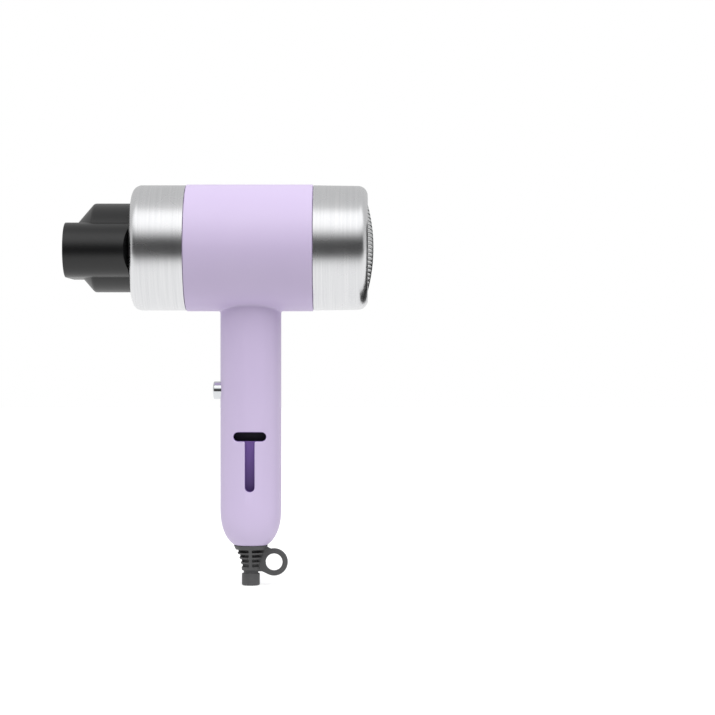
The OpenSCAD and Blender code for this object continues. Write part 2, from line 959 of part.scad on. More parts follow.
body_shell_near();
body_shell_far();
front_cap();
rear_cap();
outlet_grille();
nozzle();
nozzle_snap_ring();
filter_rim();
filter_mesh();
lint_screen();
fan_duct();
impeller();
motor_shaft();
motor_armature();
motor_commutator();
motor_can();
motor_magnets();
motor_end_cap();
motor_bushes();
motor_damper();
motor_terminals();
mica_sleeve();
mica_board_upright();
mica_board_flat();
heater_coil_main();
heater_coil_fan();
thermostat();
thermal_fuse();
switch_board();
micro_switch();
switch_plunger();
power_button();
button_spring();
noise_capacitor();
rectifier_diodes();
slot_tray();
strain_relief();
cord_clamp();
clamp_screws();
case_screws();
board_screws();
crimp_sleeves();
mains_leads();
heater_leads();
motor_leads();
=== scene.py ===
import math

import bpy
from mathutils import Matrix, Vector


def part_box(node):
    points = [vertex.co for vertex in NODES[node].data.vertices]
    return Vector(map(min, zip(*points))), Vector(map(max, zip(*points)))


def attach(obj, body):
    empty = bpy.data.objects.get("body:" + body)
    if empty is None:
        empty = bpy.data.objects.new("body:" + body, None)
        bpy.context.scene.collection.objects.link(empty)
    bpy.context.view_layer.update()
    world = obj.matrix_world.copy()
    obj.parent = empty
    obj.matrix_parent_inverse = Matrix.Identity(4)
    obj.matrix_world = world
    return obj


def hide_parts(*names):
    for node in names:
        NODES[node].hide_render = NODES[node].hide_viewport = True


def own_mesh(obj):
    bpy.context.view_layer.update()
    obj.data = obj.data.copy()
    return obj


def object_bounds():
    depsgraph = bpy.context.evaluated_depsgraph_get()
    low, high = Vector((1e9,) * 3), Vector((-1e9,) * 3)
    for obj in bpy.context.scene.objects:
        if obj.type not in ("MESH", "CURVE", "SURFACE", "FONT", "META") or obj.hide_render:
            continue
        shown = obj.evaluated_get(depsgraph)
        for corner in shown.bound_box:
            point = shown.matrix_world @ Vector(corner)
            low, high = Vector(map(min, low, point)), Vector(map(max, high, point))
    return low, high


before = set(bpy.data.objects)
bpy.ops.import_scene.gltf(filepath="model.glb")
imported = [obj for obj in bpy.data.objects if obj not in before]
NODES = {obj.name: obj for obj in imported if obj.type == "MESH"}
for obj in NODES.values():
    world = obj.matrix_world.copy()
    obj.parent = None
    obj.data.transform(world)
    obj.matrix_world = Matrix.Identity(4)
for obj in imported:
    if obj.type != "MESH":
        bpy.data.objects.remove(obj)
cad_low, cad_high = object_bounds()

MM = 0.001
scene = bpy.context.scene
scene.view_settings.view_transform = "Standard"
scene.view_settings.look = "None"


def paint(hex_colour):
    """An sRGB hex colour as a linear colour with alpha."""
    parts = [int(hex_colour[i:i + 2], 16) / 255 for i in (1, 3, 5)]
    return [c / 12.92 if c <= 0.04045 else ((c + 0.055) / 1.055) ** 2.4 for c in parts] + [1.0]


def add_node(tree, kind, settings=None, **inputs):
    """Adds one node, with its settings, and its inputs by name or number (i0, i1) set or linked."""
    made = tree.nodes.new(kind)
    for key, value in (settings or {}).items():
        setattr(made, key, value)
    for key, value in inputs.items():
        socket = made.inputs[int(key[1:]) if key[1:].isdigit() else key.replace("_", " ")]
        if isinstance(value, bpy.types.Node):
            value = value.outputs[0]
        if isinstance(value, bpy.types.NodeSocket):
            tree.links.new(value, socket)
        else:
            socket.default_value = value
    return made


def new_material(name):
    """A material with nothing in its tree but the output node."""
    material = bpy.data.materials.new(name)
    material.use_nodes = True
    tree = material.node_tree
    tree.nodes.clear()
    return material, tree, tree.nodes.new("ShaderNodeOutputMaterial")


# How brightly the walls, the softbox and the dim stretch of the room glow
ROOM = 0.62
SOFTBOX = 1.3
DIM = 0.05
SMOOTH = {"interpolation_type": "SMOOTHSTEP"}
MULTIPLY = {"operation": "MULTIPLY"}
ADD = {"operation": "ADD"}
world = bpy.data.worlds.new("studio_room")
world.use_nodes = True
sky = world.node_tree
sky.nodes.clear()
sky_out = sky.nodes.new("ShaderNodeOutputWorld")
sky_axes = add_node(sky, "ShaderNodeSeparateXYZ",
                    Vector=add_node(sky, "ShaderNodeTexCoord").outputs["Generated"])
sky_up = sky_axes.outputs["Z"]
sky_front = add_node(sky, "ShaderNodeMath", MULTIPLY, i0=sky_axes.outputs["Y"], i1=-1.0)
# The softbox is a band between two heights, in front of the table only
lamp_low = add_node(sky, "ShaderNodeMapRange", SMOOTH, Value=sky_up, From_Min=0.36, From_Max=0.64)
lamp_high = add_node(sky, "ShaderNodeMapRange", SMOOTH, Value=sky_up, From_Min=0.88, From_Max=0.99,
                     To_Min=1.0, To_Max=0.0)
lamp_front = add_node(sky, "ShaderNodeMapRange", SMOOTH, Value=sky_front, From_Min=-0.05, From_Max=0.3)
lamp_band = add_node(sky, "ShaderNodeMath", MULTIPLY, i0=lamp_low, i1=lamp_high)
lamp = add_node(sky, "ShaderNodeMath", MULTIPLY, i0=lamp_band, i1=lamp_front)
# The dim stretch lies low down in front, beyond the table's edge
dim_front = add_node(sky, "ShaderNodeMapRange", SMOOTH, Value=sky_front, From_Min=0.25, From_Max=0.6)
dim_low = add_node(sky, "ShaderNodeMapRange", SMOOTH, Value=sky_up, From_Min=0.2, From_Max=0.42,
                   To_Min=1.0, To_Max=0.0)
dim = add_node(sky, "ShaderNodeMath", MULTIPLY, i0=dim_front, i1=dim_low)
dim_loss = add_node(sky, "ShaderNodeMath", MULTIPLY, i0=dim, i1=DIM - ROOM)
room = add_node(sky, "ShaderNodeMath", ADD, i0=dim_loss, i1=ROOM)
lamp_gain = add_node(sky, "ShaderNodeMath", MULTIPLY, i0=lamp, i1=SOFTBOX - ROOM)
glow = add_node(sky, "ShaderNodeMath", ADD, i0=lamp_gain, i1=room)
seen = add_node(sky, "ShaderNodeLightPath").outputs["Is Camera Ray"]
sky_light = add_node(sky, "ShaderNodeBackground", Color=paint("#FFFFFF"), Strength=glow)
sky_white = add_node(sky, "ShaderNodeBackground", Color=paint("#FFFFFF"), Strength=1.0)
sky_mix = add_node(sky, "ShaderNodeMixShader", i0=seen, i1=sky_light, i2=sky_white)
sky.links.new(sky_mix.outputs[0], sky_out.inputs["Surface"])
scene.world = world

table_top, table_tree, table_out = new_material("white_table_matt")
table_shader = add_node(table_tree, "ShaderNodeBsdfPrincipled", Base_Color=paint("#DDDDDD"),
                        Roughness=0.9, Emission_Color=paint("#FFFFFF"), Emission_Strength=0.52)
table_tree.links.new(table_shader.outputs[0], table_out.inputs["Surface"])

table_shade, shade_tree, shade_out = new_material("table_fading_to_the_front")
shade_axes = add_node(shade_tree, "ShaderNodeSeparateXYZ",
                      Vector=add_node(shade_tree, "ShaderNodeTexCoord").outputs["Object"])
shade_fade = add_node(shade_tree, "ShaderNodeMapRange", SMOOTH, Value=shade_axes.outputs["Y"],
                      From_Min=-0.78, From_Max=-0.25, To_Min=0.06, To_Max=1.0)
shade_lit = add_node(shade_tree, "ShaderNodeEmission", Color=paint("#FFFFFF"), Strength=shade_fade)
shade_tree.links.new(shade_lit.outputs[0], shade_out.inputs["Surface"])

card_black, card_tree, card_out = new_material("black_card")
card_shader = add_node(card_tree, "ShaderNodeBsdfPrincipled", Base_Color=paint("#0A0A0A"),
                       Roughness=0.8)
card_tree.links.new(card_shader.outputs[0], card_out.inputs["Surface"])


def flat_sheet(name, corners, material):
    """One flat face of the set."""
    mesh = bpy.data.meshes.new(name)
    mesh.from_pydata(corners, [], [tuple(range(len(corners)))])
    mesh.materials.append(material)
    sheet = bpy.data.objects.new(name, mesh)
    scene.collection.objects.link(sheet)
    return sheet


# A second softbox, high over the camera, lights the matt plastic from above
SOFTBOX_SIZE = 1.1
SOFTBOX_POWER = 10.5
SOFTBOX_AT = Vector((0.1, -0.72, 1.36))
DRYER_MIDDLE = Vector((0.0, 0.0, 0.2))
top_data = bpy.data.lights.new("high_softbox", "AREA")
top_data.shape = "SQUARE"
top_data.size = SOFTBOX_SIZE
top_data.energy = SOFTBOX_POWER
top_light = bpy.data.objects.new("high_softbox", top_data)
top_light.location = SOFTBOX_AT
top_light.rotation_euler = (DRYER_MIDDLE - SOFTBOX_AT).to_track_quat("-Z", "Y").to_euler()
top_light.visible_glossy = False
scene.collection.objects.link(top_light)

# One sheet is the table that is seen, and the one just under it lights the dryer: it
# fades to the front, as a table does that ends before a dim room
TABLE = 5.0
TABLE_CORNERS = ((-TABLE, -TABLE), (TABLE, -TABLE), (TABLE, TABLE), (-TABLE, TABLE))
STAND_GAP = 0.02 * MM
SHEET_GAP = 0.05 * MM
table_z = cad_low.z - STAND_GAP
shade_z = table_z - SHEET_GAP
seen_table = flat_sheet("table_top", [(x, y, table_z) for x, y in TABLE_CORNERS], table_top)
seen_table.visible_glossy = False
seen_table.visible_diffuse = False
lighting_table = flat_sheet("table_shade", [(x, y, shade_z) for x, y in TABLE_CORNERS], table_shade)
lighting_table.visible_camera = False
lighting_table.visible_shadow = False
CARD_X = 0.112
CARD_FRONT = -0.014
CARD_BACK = 0.075
CARD_TOP = 0.232
card = flat_sheet("black_card", [(CARD_X, CARD_FRONT, table_z), (CARD_X, CARD_BACK, table_z),
                                 (CARD_X, CARD_BACK, CARD_TOP), (CARD_X, CARD_FRONT, CARD_TOP)],
                  card_black)
card.visible_camera = False
card.visible_shadow = False
card.visible_diffuse = False

cap_low, cap_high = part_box("front_cap")
AXIS_Z = (cap_low.z + cap_high.z) / 2
CAP_R = (cap_high.z - cap_low.z) / 2

LENS = 115.8
CAMERA_AWAY = 1.426
CAMERA_ASIDE = 66.1 * MM
CAMERA_DROP = 67.9 * MM
camera_data = bpy.data.cameras.new("camera")
camera_data.lens = LENS
camera_data.sensor_width = 36
camera = bpy.data.objects.new("camera", camera_data)
camera.location = (CAMERA_ASIDE, -CAMERA_AWAY, AXIS_Z - CAMERA_DROP)
camera.rotation_euler = (math.radians(90), 0, 0)
scene.collection.objects.link(camera)
scene.camera = camera

# ---------------------------------------------------------------------------
# Lilac body mouldings
# Barrel sleeve and handle are one shape, injection moulded in pale lilac ABS as two
# halves that meet on the barrel's middle plane and are screwed together from the far
# side. The face is fine satin, and the T-shaped slot has a rounded lip.
# ---------------------------------------------------------------------------
import bmesh


def add_mesh(name, verts, faces):
    """A new object from points and faces, with its normals pointing outwards."""
    mesh = bpy.data.meshes.new(name)
    mesh.from_pydata([tuple(v) for v in verts], [], faces)
    work = bmesh.new()
    work.from_mesh(mesh)
    bmesh.ops.recalc_face_normals(work, faces=work.faces)
    work.to_mesh(mesh)
    work.free()
    made = bpy.data.objects.new(name, mesh)
    scene.collection.objects.link(made)
    return made


def on_barrel(r, along, turn):
    """A point at radius r from the barrel's axis."""
    return Vector((along, r * math.sin(turn), AXIS_Z + r * math.cos(turn)))


def revolve(name, profile, place, steps=192, closed=False):
    """Turns a profile of (radius, along) points about an axis; points on the axis become poles."""
    verts, rings, faces = [], [], []
    for r, along in profile:
        if r < 1e-6:
            rings.append([len(verts)] * steps)
            verts.append(place(0, along, 0))
        else:
            rings.append(list(range(len(verts), len(verts) + steps)))
            verts += [place(r, along, 2 * math.pi * k / steps) for k in range(steps)]
    pairs = list(zip(rings, rings[1:])) + ([(rings[-1], rings[0])] if closed else [])
    for low, high in pairs:
        for k in range(steps):
            n = (k + 1) % steps
            corners = [low[k], low[n], high[n], high[k]]
            face = [c for i, c in enumerate(corners) if c not in corners[:i]]
            if len(face) > 2:
                faces.append(face)
    return add_mesh(name, verts, faces)


def loft(name, rings):
    """A closed solid through rings of equal length, with flat ends."""
    count = len(rings[0])
    verts = [p for ring in rings for p in ring]
    faces = [(i * count + k, i * count + (k + 1) % count,
              (i + 1) * count + (k + 1) % count, (i + 1) * count + k)
             for i in range(len(rings) - 1) for k in range(count)]
    faces.append(tuple(range(count)))
    faces.append(tuple(range(len(verts) - count, len(verts))))
    return add_mesh(name, verts, faces)


def combine(base, tools, how):
    """Joins tools to base, or cuts them from it, and deletes them."""
    for tool in tools:
        step = base.modifiers.new("boolean", "BOOLEAN")
        step.operation, step.solver, step.object = how, "EXACT", tool
        graph = bpy.context.evaluated_depsgraph_get()
        mesh = bpy.data.meshes.new_from_object(base.evaluated_get(graph))
        base.modifiers.clear()
        old = base.data
        base.data = mesh
        bpy.data.meshes.remove(old)
    for tool in tools:
        old = tool.data
        bpy.data.objects.remove(tool)
        bpy.data.meshes.remove(old)
    return base


def smooth_faces(piece, crease=32):
    """Smooth shading, with edges sharper than crease degrees kept crisp."""
    piece.data.shade_smooth()
    piece.data.set_sharp_from_angle(angle=math.radians(crease))
    return piece


def arc_points(centre, radius, start, end, steps=8):
    """Points of an arc in a profile, angles in degrees."""
    out = []
    for step in range(steps + 1):
        turn = math.radians(start + (end - start) * step / steps)
        out.append((centre[0] + radius * math.cos(turn), centre[1] + radius * math.sin(turn)))
    return out


sleeve_low, sleeve_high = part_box("body_shell_near")
SLEEVE_R = -sleeve_low.y
WALL = 2.2 * MM
SEAM = 0.3 * MM
SPIGOT_STEP = 1.85 * MM
SLEEVE_STEPS = 48
sleeve_x0 = cap_high.x + SEAM
sleeve_x1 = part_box("rear_cap")[0].x - SEAM
spigot_r = CAP_R - SPIGOT_STEP
LIP = 0.5 * MM
sleeve_profile = (
    arc_points((SLEEVE_R - LIP, sleeve_x0 + LIP), LIP, -90, 0, 4)
    + [(SLEEVE_R, sleeve_x0 + (sleeve_x1 - sleeve_x0) * k / SLEEVE_STEPS)
       for k in range(1, SLEEVE_STEPS)]
    + arc_points((SLEEVE_R - LIP, sleeve_x1 - LIP), LIP, 0, 90, 4)
    + [(spigot_r, sleeve_x1), (spigot_r, sleeve_high.x), (spigot_r - WALL, sleeve_high.x),
       (spigot_r - WALL, sleeve_x1 - WALL), (SLEEVE_R - WALL, sleeve_x1 - WALL),
       (SLEEVE_R - WALL, sleeve_x0 + WALL), (spigot_r - WALL, sleeve_x0 + WALL),
       (spigot_r - WALL, sleeve_low.x), (spigot_r, sleeve_low.x), (spigot_r, sleeve_x0)])
blank = revolve("body_blank", sleeve_profile, on_barrel, steps=288, closed=True)

HANDLE_A = 18.8 * MM
HANDLE_B = 16.9 * MM
HANDLE_POWER = 2.3
HANDLE_STEP = 12 * MM
END_Z = sleeve_low.z
END_ROUND = 22.8 * MM
ROUND_TOP = END_Z + 23.7 * MM
RIM_Z = ROUND_TOP - END_ROUND
END_R = 10.4 * MM
END_POWER = 2.4
FILLET = 1.5 * MM
FILLET_SINK = 0.03 * MM
FILLET_ROOT = 1.2 * MM
RING = 160
end_reach = END_ROUND / (1 - (END_R / HANDLE_A) ** END_POWER) ** (1 / END_POWER)


def oval(a, b, power, z, count=RING):
    """A ring of a rounded section of half-width a along the barrel and b across it."""
    out = []
    for k in range(count):
        turn = 2 * math.pi * k / count
        c, s = math.cos(turn), math.sin(turn)
        out.append(Vector((a * math.copysign(abs(c) ** (2 / power), c),
                           b * math.copysign(abs(s) ** (2 / power), s), z)))
    return out


def handle_section(z, inset=0.0):
    """The handle's section at a height, drawn in by inset."""
    drop = max(0.0, ROUND_TOP - z)
    a = HANDLE_A * (1 - (drop / end_reach) ** END_POWER) ** (1 / END_POWER)
    blend = min(1.0, drop / END_ROUND) ** 2
    ratio = HANDLE_B / HANDLE_A * (1 - blend) + blend
    return oval(a - inset, a * ratio - inset, HANDLE_POWER - (HANDLE_POWER - 2) * blend, z)


def handle_rings(inset, bottom, top_radius):
    """Rings from the foot of the handle up to a saddle on a cylinder of top_radius."""
    rises = [1 - math.cos(math.radians(90 * k / 20)) for k in range(21)]
    rings = [handle_section(bottom + (ROUND_TOP - bottom) * rise, inset) for rise in rises]
    rings += [handle_section(ROUND_TOP + HANDLE_STEP * k, inset) for k in range(1, 10)]
    saddle = [Vector((p.x, p.y, AXIS_Z - math.sqrt(top_radius ** 2 - p.y ** 2)))
              for p in handle_section(ROUND_TOP, inset)]
    return rings, saddle


def handle_solid(name):
    """The outside of the handle, with a fillet that runs out on the barrel."""
    rings, saddle = handle_rings(0.0, RIM_Z, SLEEVE_R)
    # Under the rim the foot is domed: the share of the rim's width, and of its height
    dome = [[Vector((p.x * share, p.y * share, END_Z + (RIM_Z - END_Z) * rise)) for p in rings[0]]
            for share, rise in ((0.67, 0.0), (0.76, 0.1), (0.84, 0.27), (0.92, 0.55), (0.97, 0.8))]
    rings = dome + rings
    for k in range(13):
        t = k / 12
        ring = []
        for i, p in enumerate(saddle):
            before, after = saddle[i - 1], saddle[(i + 1) % RING]
            out = Vector((after.y - before.y, before.x - after.x, 0)).normalized()
            far = p + out * FILLET
            far.z = AXIS_Z - math.sqrt((SLEEVE_R - FILLET_SINK) ** 2 - far.y ** 2)
            low = Vector((p.x, p.y, p.z - FILLET))
            ring.append(low * (1 - t) ** 2 + p * 2 * t * (1 - t) + far * t * t)
        rings.append(ring)
    inner = []
    for p in rings[-1]:
        height = AXIS_Z - math.sqrt((SLEEVE_R - FILLET_ROOT) ** 2 - p.y ** 2)
        inner.append(Vector((p.x, p.y, height)))
    rings.append(inner)
    return loft(name, rings)


def bar(name, place, radius, start, end, steps=64):
    """A round bar for drilling."""
    return revolve(name, [(0, start), (radius, start), (radius, end), (0, end)], place, steps)


BUTTON_Z = (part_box("power_button")[0].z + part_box("power_button")[1].z) / 2
BAR_Z = 92.4 * MM
BAR_HALF = 9.9 * MM
BAR_R = 2.7 * MM
STEM_R = 2.8 * MM
STEM_FOOT = 58.6 * MM
SLOT_LIP = 0.35 * MM
SLOT_GROW = 0.22 * MM
SLOT_CORNER = 0.9 * MM
SLOT_Y = (-25 * MM, -7 * MM)


def near_face(x):
    """How far the near side of the handle stands from the middle plane."""
    return -HANDLE_B * (1 - min(1.0, abs(x) / HANDLE_A) ** HANDLE_POWER) ** (1 / HANDLE_POWER)


def t_outline(grow):
    """The outline of the T-shaped slot, grown outwards, as (x, z) points in order."""
    bar_r, stem_r = BAR_R + grow, STEM_R + grow
    reach = BAR_HALF - BAR_R
    points = arc_points((reach, BAR_Z), bar_r, 90, -90, 14)
    corner_z = BAR_Z - bar_r - SLOT_CORNER
    points += arc_points((stem_r + SLOT_CORNER, corner_z), SLOT_CORNER, 90, 180, 5)
    points += arc_points((0, STEM_FOOT + STEM_R), stem_r, 0, -180, 18)
    points += arc_points((-stem_r - SLOT_CORNER, corner_z), SLOT_CORNER, 0, 90, 5)
    points += arc_points((-reach, BAR_Z), bar_r, 270, 90, 14)
    return points


def slot_cutter(name):
    """The T-shaped hole with a lip that rolls over on to the handle's face."""
    rings = [[Vector((x, SLOT_Y[0], z)) for x, z in t_outline(SLOT_GROW + SLOT_LIP)]]
    for k in range(7):
        turn = math.radians(90 * k / 6)
        grow = SLOT_GROW + SLOT_LIP * (1 - math.sin(turn))
        depth = SLOT_LIP * (1 - math.cos(turn)) - 0.01 * MM
        rings.append([Vector((x, near_face(x) + depth, z)) for x, z in t_outline(grow)])
    rings.append([Vector((x, SLOT_Y[1], z)) for x, z in t_outline(SLOT_GROW)])
    return loft(name, rings)


def down(r, along, turn):
    """A point about the handle's axis, which stands along Z."""
    return Vector((r * math.cos(turn), r * math.sin(turn), along))


def across(x, z):
    """Places a profile about a line across the handle through x and z."""
    return lambda r, along, turn: Vector((x + r * math.cos(turn), along, z + r * math.sin(turn)))


def button_line(r, along, turn):
    """A point about the button's axis, which runs along the barrel."""
    return Vector((along, r * math.cos(turn), BUTTON_Z + r * math.sin(turn)))


combine(blank, [handle_solid("handle_outside")], "UNION")
CAVITY_TOP = AXIS_Z - 20 * MM
cavity_rings = handle_rings(WALL, END_Z + WALL, SLEEVE_R - WALL)[0]
cavity_rings.append([Vector((p.x, p.y, CAVITY_TOP)) for p in cavity_rings[-1]])
combine(blank, [loft("handle_inside", cavity_rings)], "DIFFERENCE")
# The button's hole opens in a short cone at the handle's front edge
BUTTON_HOLE_R = 5.62 * MM
BUTTON_CONE_R = 6.3 * MM
BUTTON_CONE_X = (-18.6 * MM, -17.7 * MM)
BUTTON_DRILL_X = (-25 * MM, -14 * MM)
button_hole = [(0, BUTTON_DRILL_X[0]), (BUTTON_CONE_R, BUTTON_DRILL_X[0]),
               (BUTTON_CONE_R, BUTTON_CONE_X[0]), (BUTTON_HOLE_R, BUTTON_CONE_X[1]),
               (BUTTON_HOLE_R, BUTTON_DRILL_X[1]), (0, BUTTON_DRILL_X[1])]
RELIEF_HOLE_R = 6.7 * MM
SCREW_HEAD_R = 3.1 * MM
SCREW_HEIGHTS = (48 * MM, 160 * MM)
SCREW_Y = (12 * MM, 20 * MM)
combine(blank, [
    slot_cutter("slot_cutter"), revolve("button_hole", button_hole, button_line, 96),
    bar("relief_hole", down, RELIEF_HOLE_R, END_Z - 2 * MM, END_Z + 5 * MM, 96)], "DIFFERENCE")
for z in SCREW_HEIGHTS:
    combine(blank, [bar("screw_recess", across(0, z), SCREW_HEAD_R, *SCREW_Y)], "DIFFERENCE")

lilac, lilac_tree, lilac_out = new_material("lilac_abs_spark_eroded")
# Spark-eroded mould face: a fine grain that softens the shine, with faint flow mottling
lilac_place = add_node(lilac_tree, "ShaderNodeTexCoord")
lilac_grain = add_node(lilac_tree, "ShaderNodeTexNoise", Vector=lilac_place.outputs["Object"],
                       Scale=1 / (0.9 * MM), Detail=2.0)
lilac_flow = add_node(lilac_tree, "ShaderNodeTexNoise", Vector=lilac_place.outputs["Object"],
                      Scale=1 / (26 * MM), Detail=3.0)
lilac_tint = add_node(lilac_tree, "ShaderNodeMix", {"data_type": "RGBA"}, i0=lilac_flow,
                      i6=paint("#D8C9EA"), i7=paint("#D4C4E7"))
lilac_rough = add_node(lilac_tree, "ShaderNodeMapRange", Value=lilac_grain,
                       To_Min=0.40, To_Max=0.50)
lilac_bump = add_node(lilac_tree, "ShaderNodeBump", Height=lilac_grain,
                      Strength=0.05, Distance=0.04 * MM)
lilac_shader = add_node(lilac_tree, "ShaderNodeBsdfPrincipled", Base_Color=lilac_tint.outputs[2],
                        Roughness=lilac_rough, Normal=lilac_bump, IOR=1.53)
lilac_tree.links.new(lilac_shader.outputs[0], lilac_out.inputs["Surface"])

SEAM_GROOVE = 0.22 * MM
PART_GAP = 0.004 * MM
REACH = 0.2
CORE_END = 0.19


def box(name, low, high):
    """A box between two opposite corners."""
    verts = [(x, y, z) for x in (low[0], high[0]) for y in (low[1], high[1]) for z in (low[2], high[2])]
    return add_mesh(name, verts, [(0, 1, 3, 2), (4, 6, 7, 5), (0, 4, 5, 1), (2, 3, 7, 6),
                                  (0, 2, 6, 4), (1, 5, 7, 3)])


def slab(name, y0, y1):
    """A box that holds all of the dryer between two distances from the middle plane."""
    return box(name, (-REACH, y0, -REACH / 2), (REACH, y1, 2 * REACH))


def finish_with(piece, material):
    """Gives a piece, or a carried-over node, one material in every slot."""
    if not piece.data.materials:
        piece.data.materials.append(material)
    for k in range(len(piece.data.materials)):
        piece.data.materials[k] = material


def mount(piece, material, node, body):
    """Finishes a piece that stands for a node, and fixes it to its body."""
    piece.data.materials.clear()
    finish_with(piece, material)
    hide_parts(node)
    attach(piece, body)
    return piece


# A fine groove runs round the outside where the two halves meet
groove = slab("seam_groove", -SEAM_GROOVE / 2, SEAM_GROOVE / 2)
core_rings, core_saddle = handle_rings(SEAM_GROOVE, END_Z + SEAM_GROOVE, SLEEVE_R)
combine(groove, [
    bar("seam_core", on_barrel, SLEEVE_R - SEAM_GROOVE, -CORE_END, CORE_END, 192),
    loft("seam_core_handle", core_rings + [[Vector((p.x, p.y, AXIS_Z)) for p in core_saddle]])],
    "DIFFERENCE")
combine(blank, [groove], "DIFFERENCE")

for name, y0, y1 in (("near", -REACH, -PART_GAP), ("far", PART_GAP, REACH)):
    half = bpy.data.objects.new("body_moulding_" + name, blank.data.copy())
    scene.collection.objects.link(half)
    combine(half, [slab("keep_" + name, y0, y1)], "INTERSECT")
    mount(smooth_faces(half), lilac, "body_shell_" + name, "housing")
bpy.data.objects.remove(blank)

# ---------------------------------------------------------------------------
# End caps
# Two drawn aluminium cups, turned with a fine tool and clear anodised, pressed over
# the sleeve's spigots. The front one carries the air outlet tube on the inside.
# ---------------------------------------------------------------------------
anodised, anodised_tree, anodised_out = new_material("aluminium_turned_anodised")
# Turning marks run round the barrel: the shine is drawn out along it. They are 0.1 mm
# apart on the real cap, and drawn 1 mm apart so that they show
anodised_place = add_node(anodised_tree, "ShaderNodeTexCoord").outputs["Object"]
MARK_GAP = 1.0 * MM
MARK_LENGTH = 60 * MM
anodised_line = add_node(anodised_tree, "ShaderNodeMapping", Vector=anodised_place,
                         Scale=(1 / MARK_GAP, 1 / MARK_LENGTH, 1 / MARK_LENGTH))
anodised_marks = add_node(anodised_tree, "ShaderNodeTexNoise", Vector=anodised_line,
                          Scale=1.0, Detail=1.0)
anodised_cloud = add_node(anodised_tree, "ShaderNodeTexNoise", Vector=anodised_place,
                          Scale=1 / (18 * MM), Detail=2.0)
anodised_tint = add_node(anodised_tree, "ShaderNodeMix", {"data_type": "RGBA"},
                         i0=anodised_marks, i6=paint("#DCDDDF"), i7=paint("#F0F0F1"))
anodised_rough = add_node(anodised_tree, "ShaderNodeMapRange", Value=anodised_cloud,
                          To_Min=0.24, To_Max=0.30)
anodised_bump = add_node(anodised_tree, "ShaderNodeBump", Height=anodised_marks,
                         Strength=0.06, Distance=0.02 * MM)
anodised_shader = add_node(anodised_tree, "ShaderNodeBsdfPrincipled", Metallic=1.0,
                           Base_Color=anodised_tint.outputs[2], Roughness=anodised_rough,
                           Normal=anodised_bump)
anodised_tree.links.new(anodised_shader.outputs[0], anodised_out.inputs["Surface"])

FRONT_ROUND = 5.75 * MM
FRONT_WALL = 1.9 * MM
OUTLET_R = 26.2 * MM
OUTLET_TUBE = 12 * MM
OUTLET_WALL = 1.8 * MM
OUTLET_EDGE = 0.5 * MM
CAP_EDGE = 0.25 * MM
CAP_WALL = 1.6 * MM
face_x = cap_low.x
skin_r = CAP_R - CAP_WALL
shoulder = CAP_R - FRONT_ROUND
front_profile = (
    [(skin_r, cap_high.x)]
    + arc_points((CAP_R - CAP_EDGE, cap_high.x - CAP_EDGE), CAP_EDGE, 90, 0, 4)
    + [(CAP_R, cap_high.x + (face_x + FRONT_ROUND - cap_high.x) * k / 12) for k in range(1, 12)]
    + arc_points((shoulder, face_x + FRONT_ROUND), FRONT_ROUND, 0, -90, 24)
    + arc_points((OUTLET_R + OUTLET_EDGE, face_x + OUTLET_EDGE), OUTLET_EDGE, 270, 180, 4)
    + [(OUTLET_R, face_x + OUTLET_TUBE), (OUTLET_R + OUTLET_WALL, face_x + OUTLET_TUBE),
       (OUTLET_R + OUTLET_WALL, face_x + FRONT_WALL), (shoulder, face_x + FRONT_WALL)]
    + arc_points((shoulder, face_x + FRONT_ROUND), skin_r - shoulder, -70, 0, 8))
mount(smooth_faces(revolve("front_cap_shell", front_profile, on_barrel, 256, True)),
      anodised, "front_cap", "housing")

REAR_ROUND = 6 * MM
REAR_TAPER = 0.4 * MM
INLET_R = 32.3 * MM
INLET_WALL = 1.7 * MM
INLET_TUBE = 10.4 * MM
INLET_FACE = 3.5 * MM
BARREL_END = 12 * MM
rear_low, rear_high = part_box("rear_cap")
end_x = rear_high.x
rear_r = CAP_R - REAR_TAPER
rear_inner = skin_r - REAR_TAPER
round_at = (rear_r - REAR_ROUND, end_x - REAR_ROUND)
rear_profile = (
    [(skin_r, rear_low.x)]
    + arc_points((CAP_R - CAP_EDGE, rear_low.x + CAP_EDGE), CAP_EDGE, -90, 0, 4)
    + [(CAP_R - REAR_TAPER * k / 12, rear_low.x + (end_x - REAR_ROUND - rear_low.x) * k / 12)
       for k in range(1, 12)]
    + arc_points(round_at, REAR_ROUND, 0, 90, 24)
    + [(INLET_R, end_x), (INLET_R, end_x - INLET_TUBE), (INLET_R + INLET_WALL, end_x - INLET_TUBE),
       (INLET_R + INLET_WALL, end_x - INLET_FACE)]
    + arc_points(round_at, rear_inner - rear_r + REAR_ROUND, 50, 0, 6)
    + [(skin_r, end_x - BARREL_END)])
mount(smooth_faces(revolve("rear_cap_shell", rear_profile, on_barrel, 256, True)),
      anodised, "rear_cap", "housing")

# ---------------------------------------------------------------------------
# Nozzle
# Air concentrator in black heat-resistant polyamide, injection moulded in one piece:
# a round collar, a cone, and a flat duct whose ends stand out as ears. It pushes into
# the outlet tube on a neck with a split steel ring.
# ---------------------------------------------------------------------------
MOUTH_W = 74 * MM
MOUTH_H = 33.6 * MM
DUCT_DROP = 2.2 * MM
COLLAR_R = 27.5 * MM
COLLAR_LEN = 23.3 * MM
CONE_LEN = 11.2 * MM
NOZZLE_WALL = 1.7 * MM
NECK_R = OUTLET_R - 0.3 * MM
EAR_CUT = 5.5 * MM
EAR_SLOPE = math.tan(math.radians(25))
EAR_WALL = 3.5 * MM
NOZZLE_GAP = 0.3 * MM
COLLAR_ROUND = 1.3 * MM
NECK_CHAMFER = 0.4 * MM
NECK_WALL = 2.2 * MM
GROOVE_BACK = 3.2 * MM
GROOVE_DEPTH = 0.9 * MM
GROOVE_WIDTH = 2.2 * MM
mouth_x, neck_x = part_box("nozzle")[0].x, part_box("nozzle")[1].x
back_x = face_x - NOZZLE_GAP
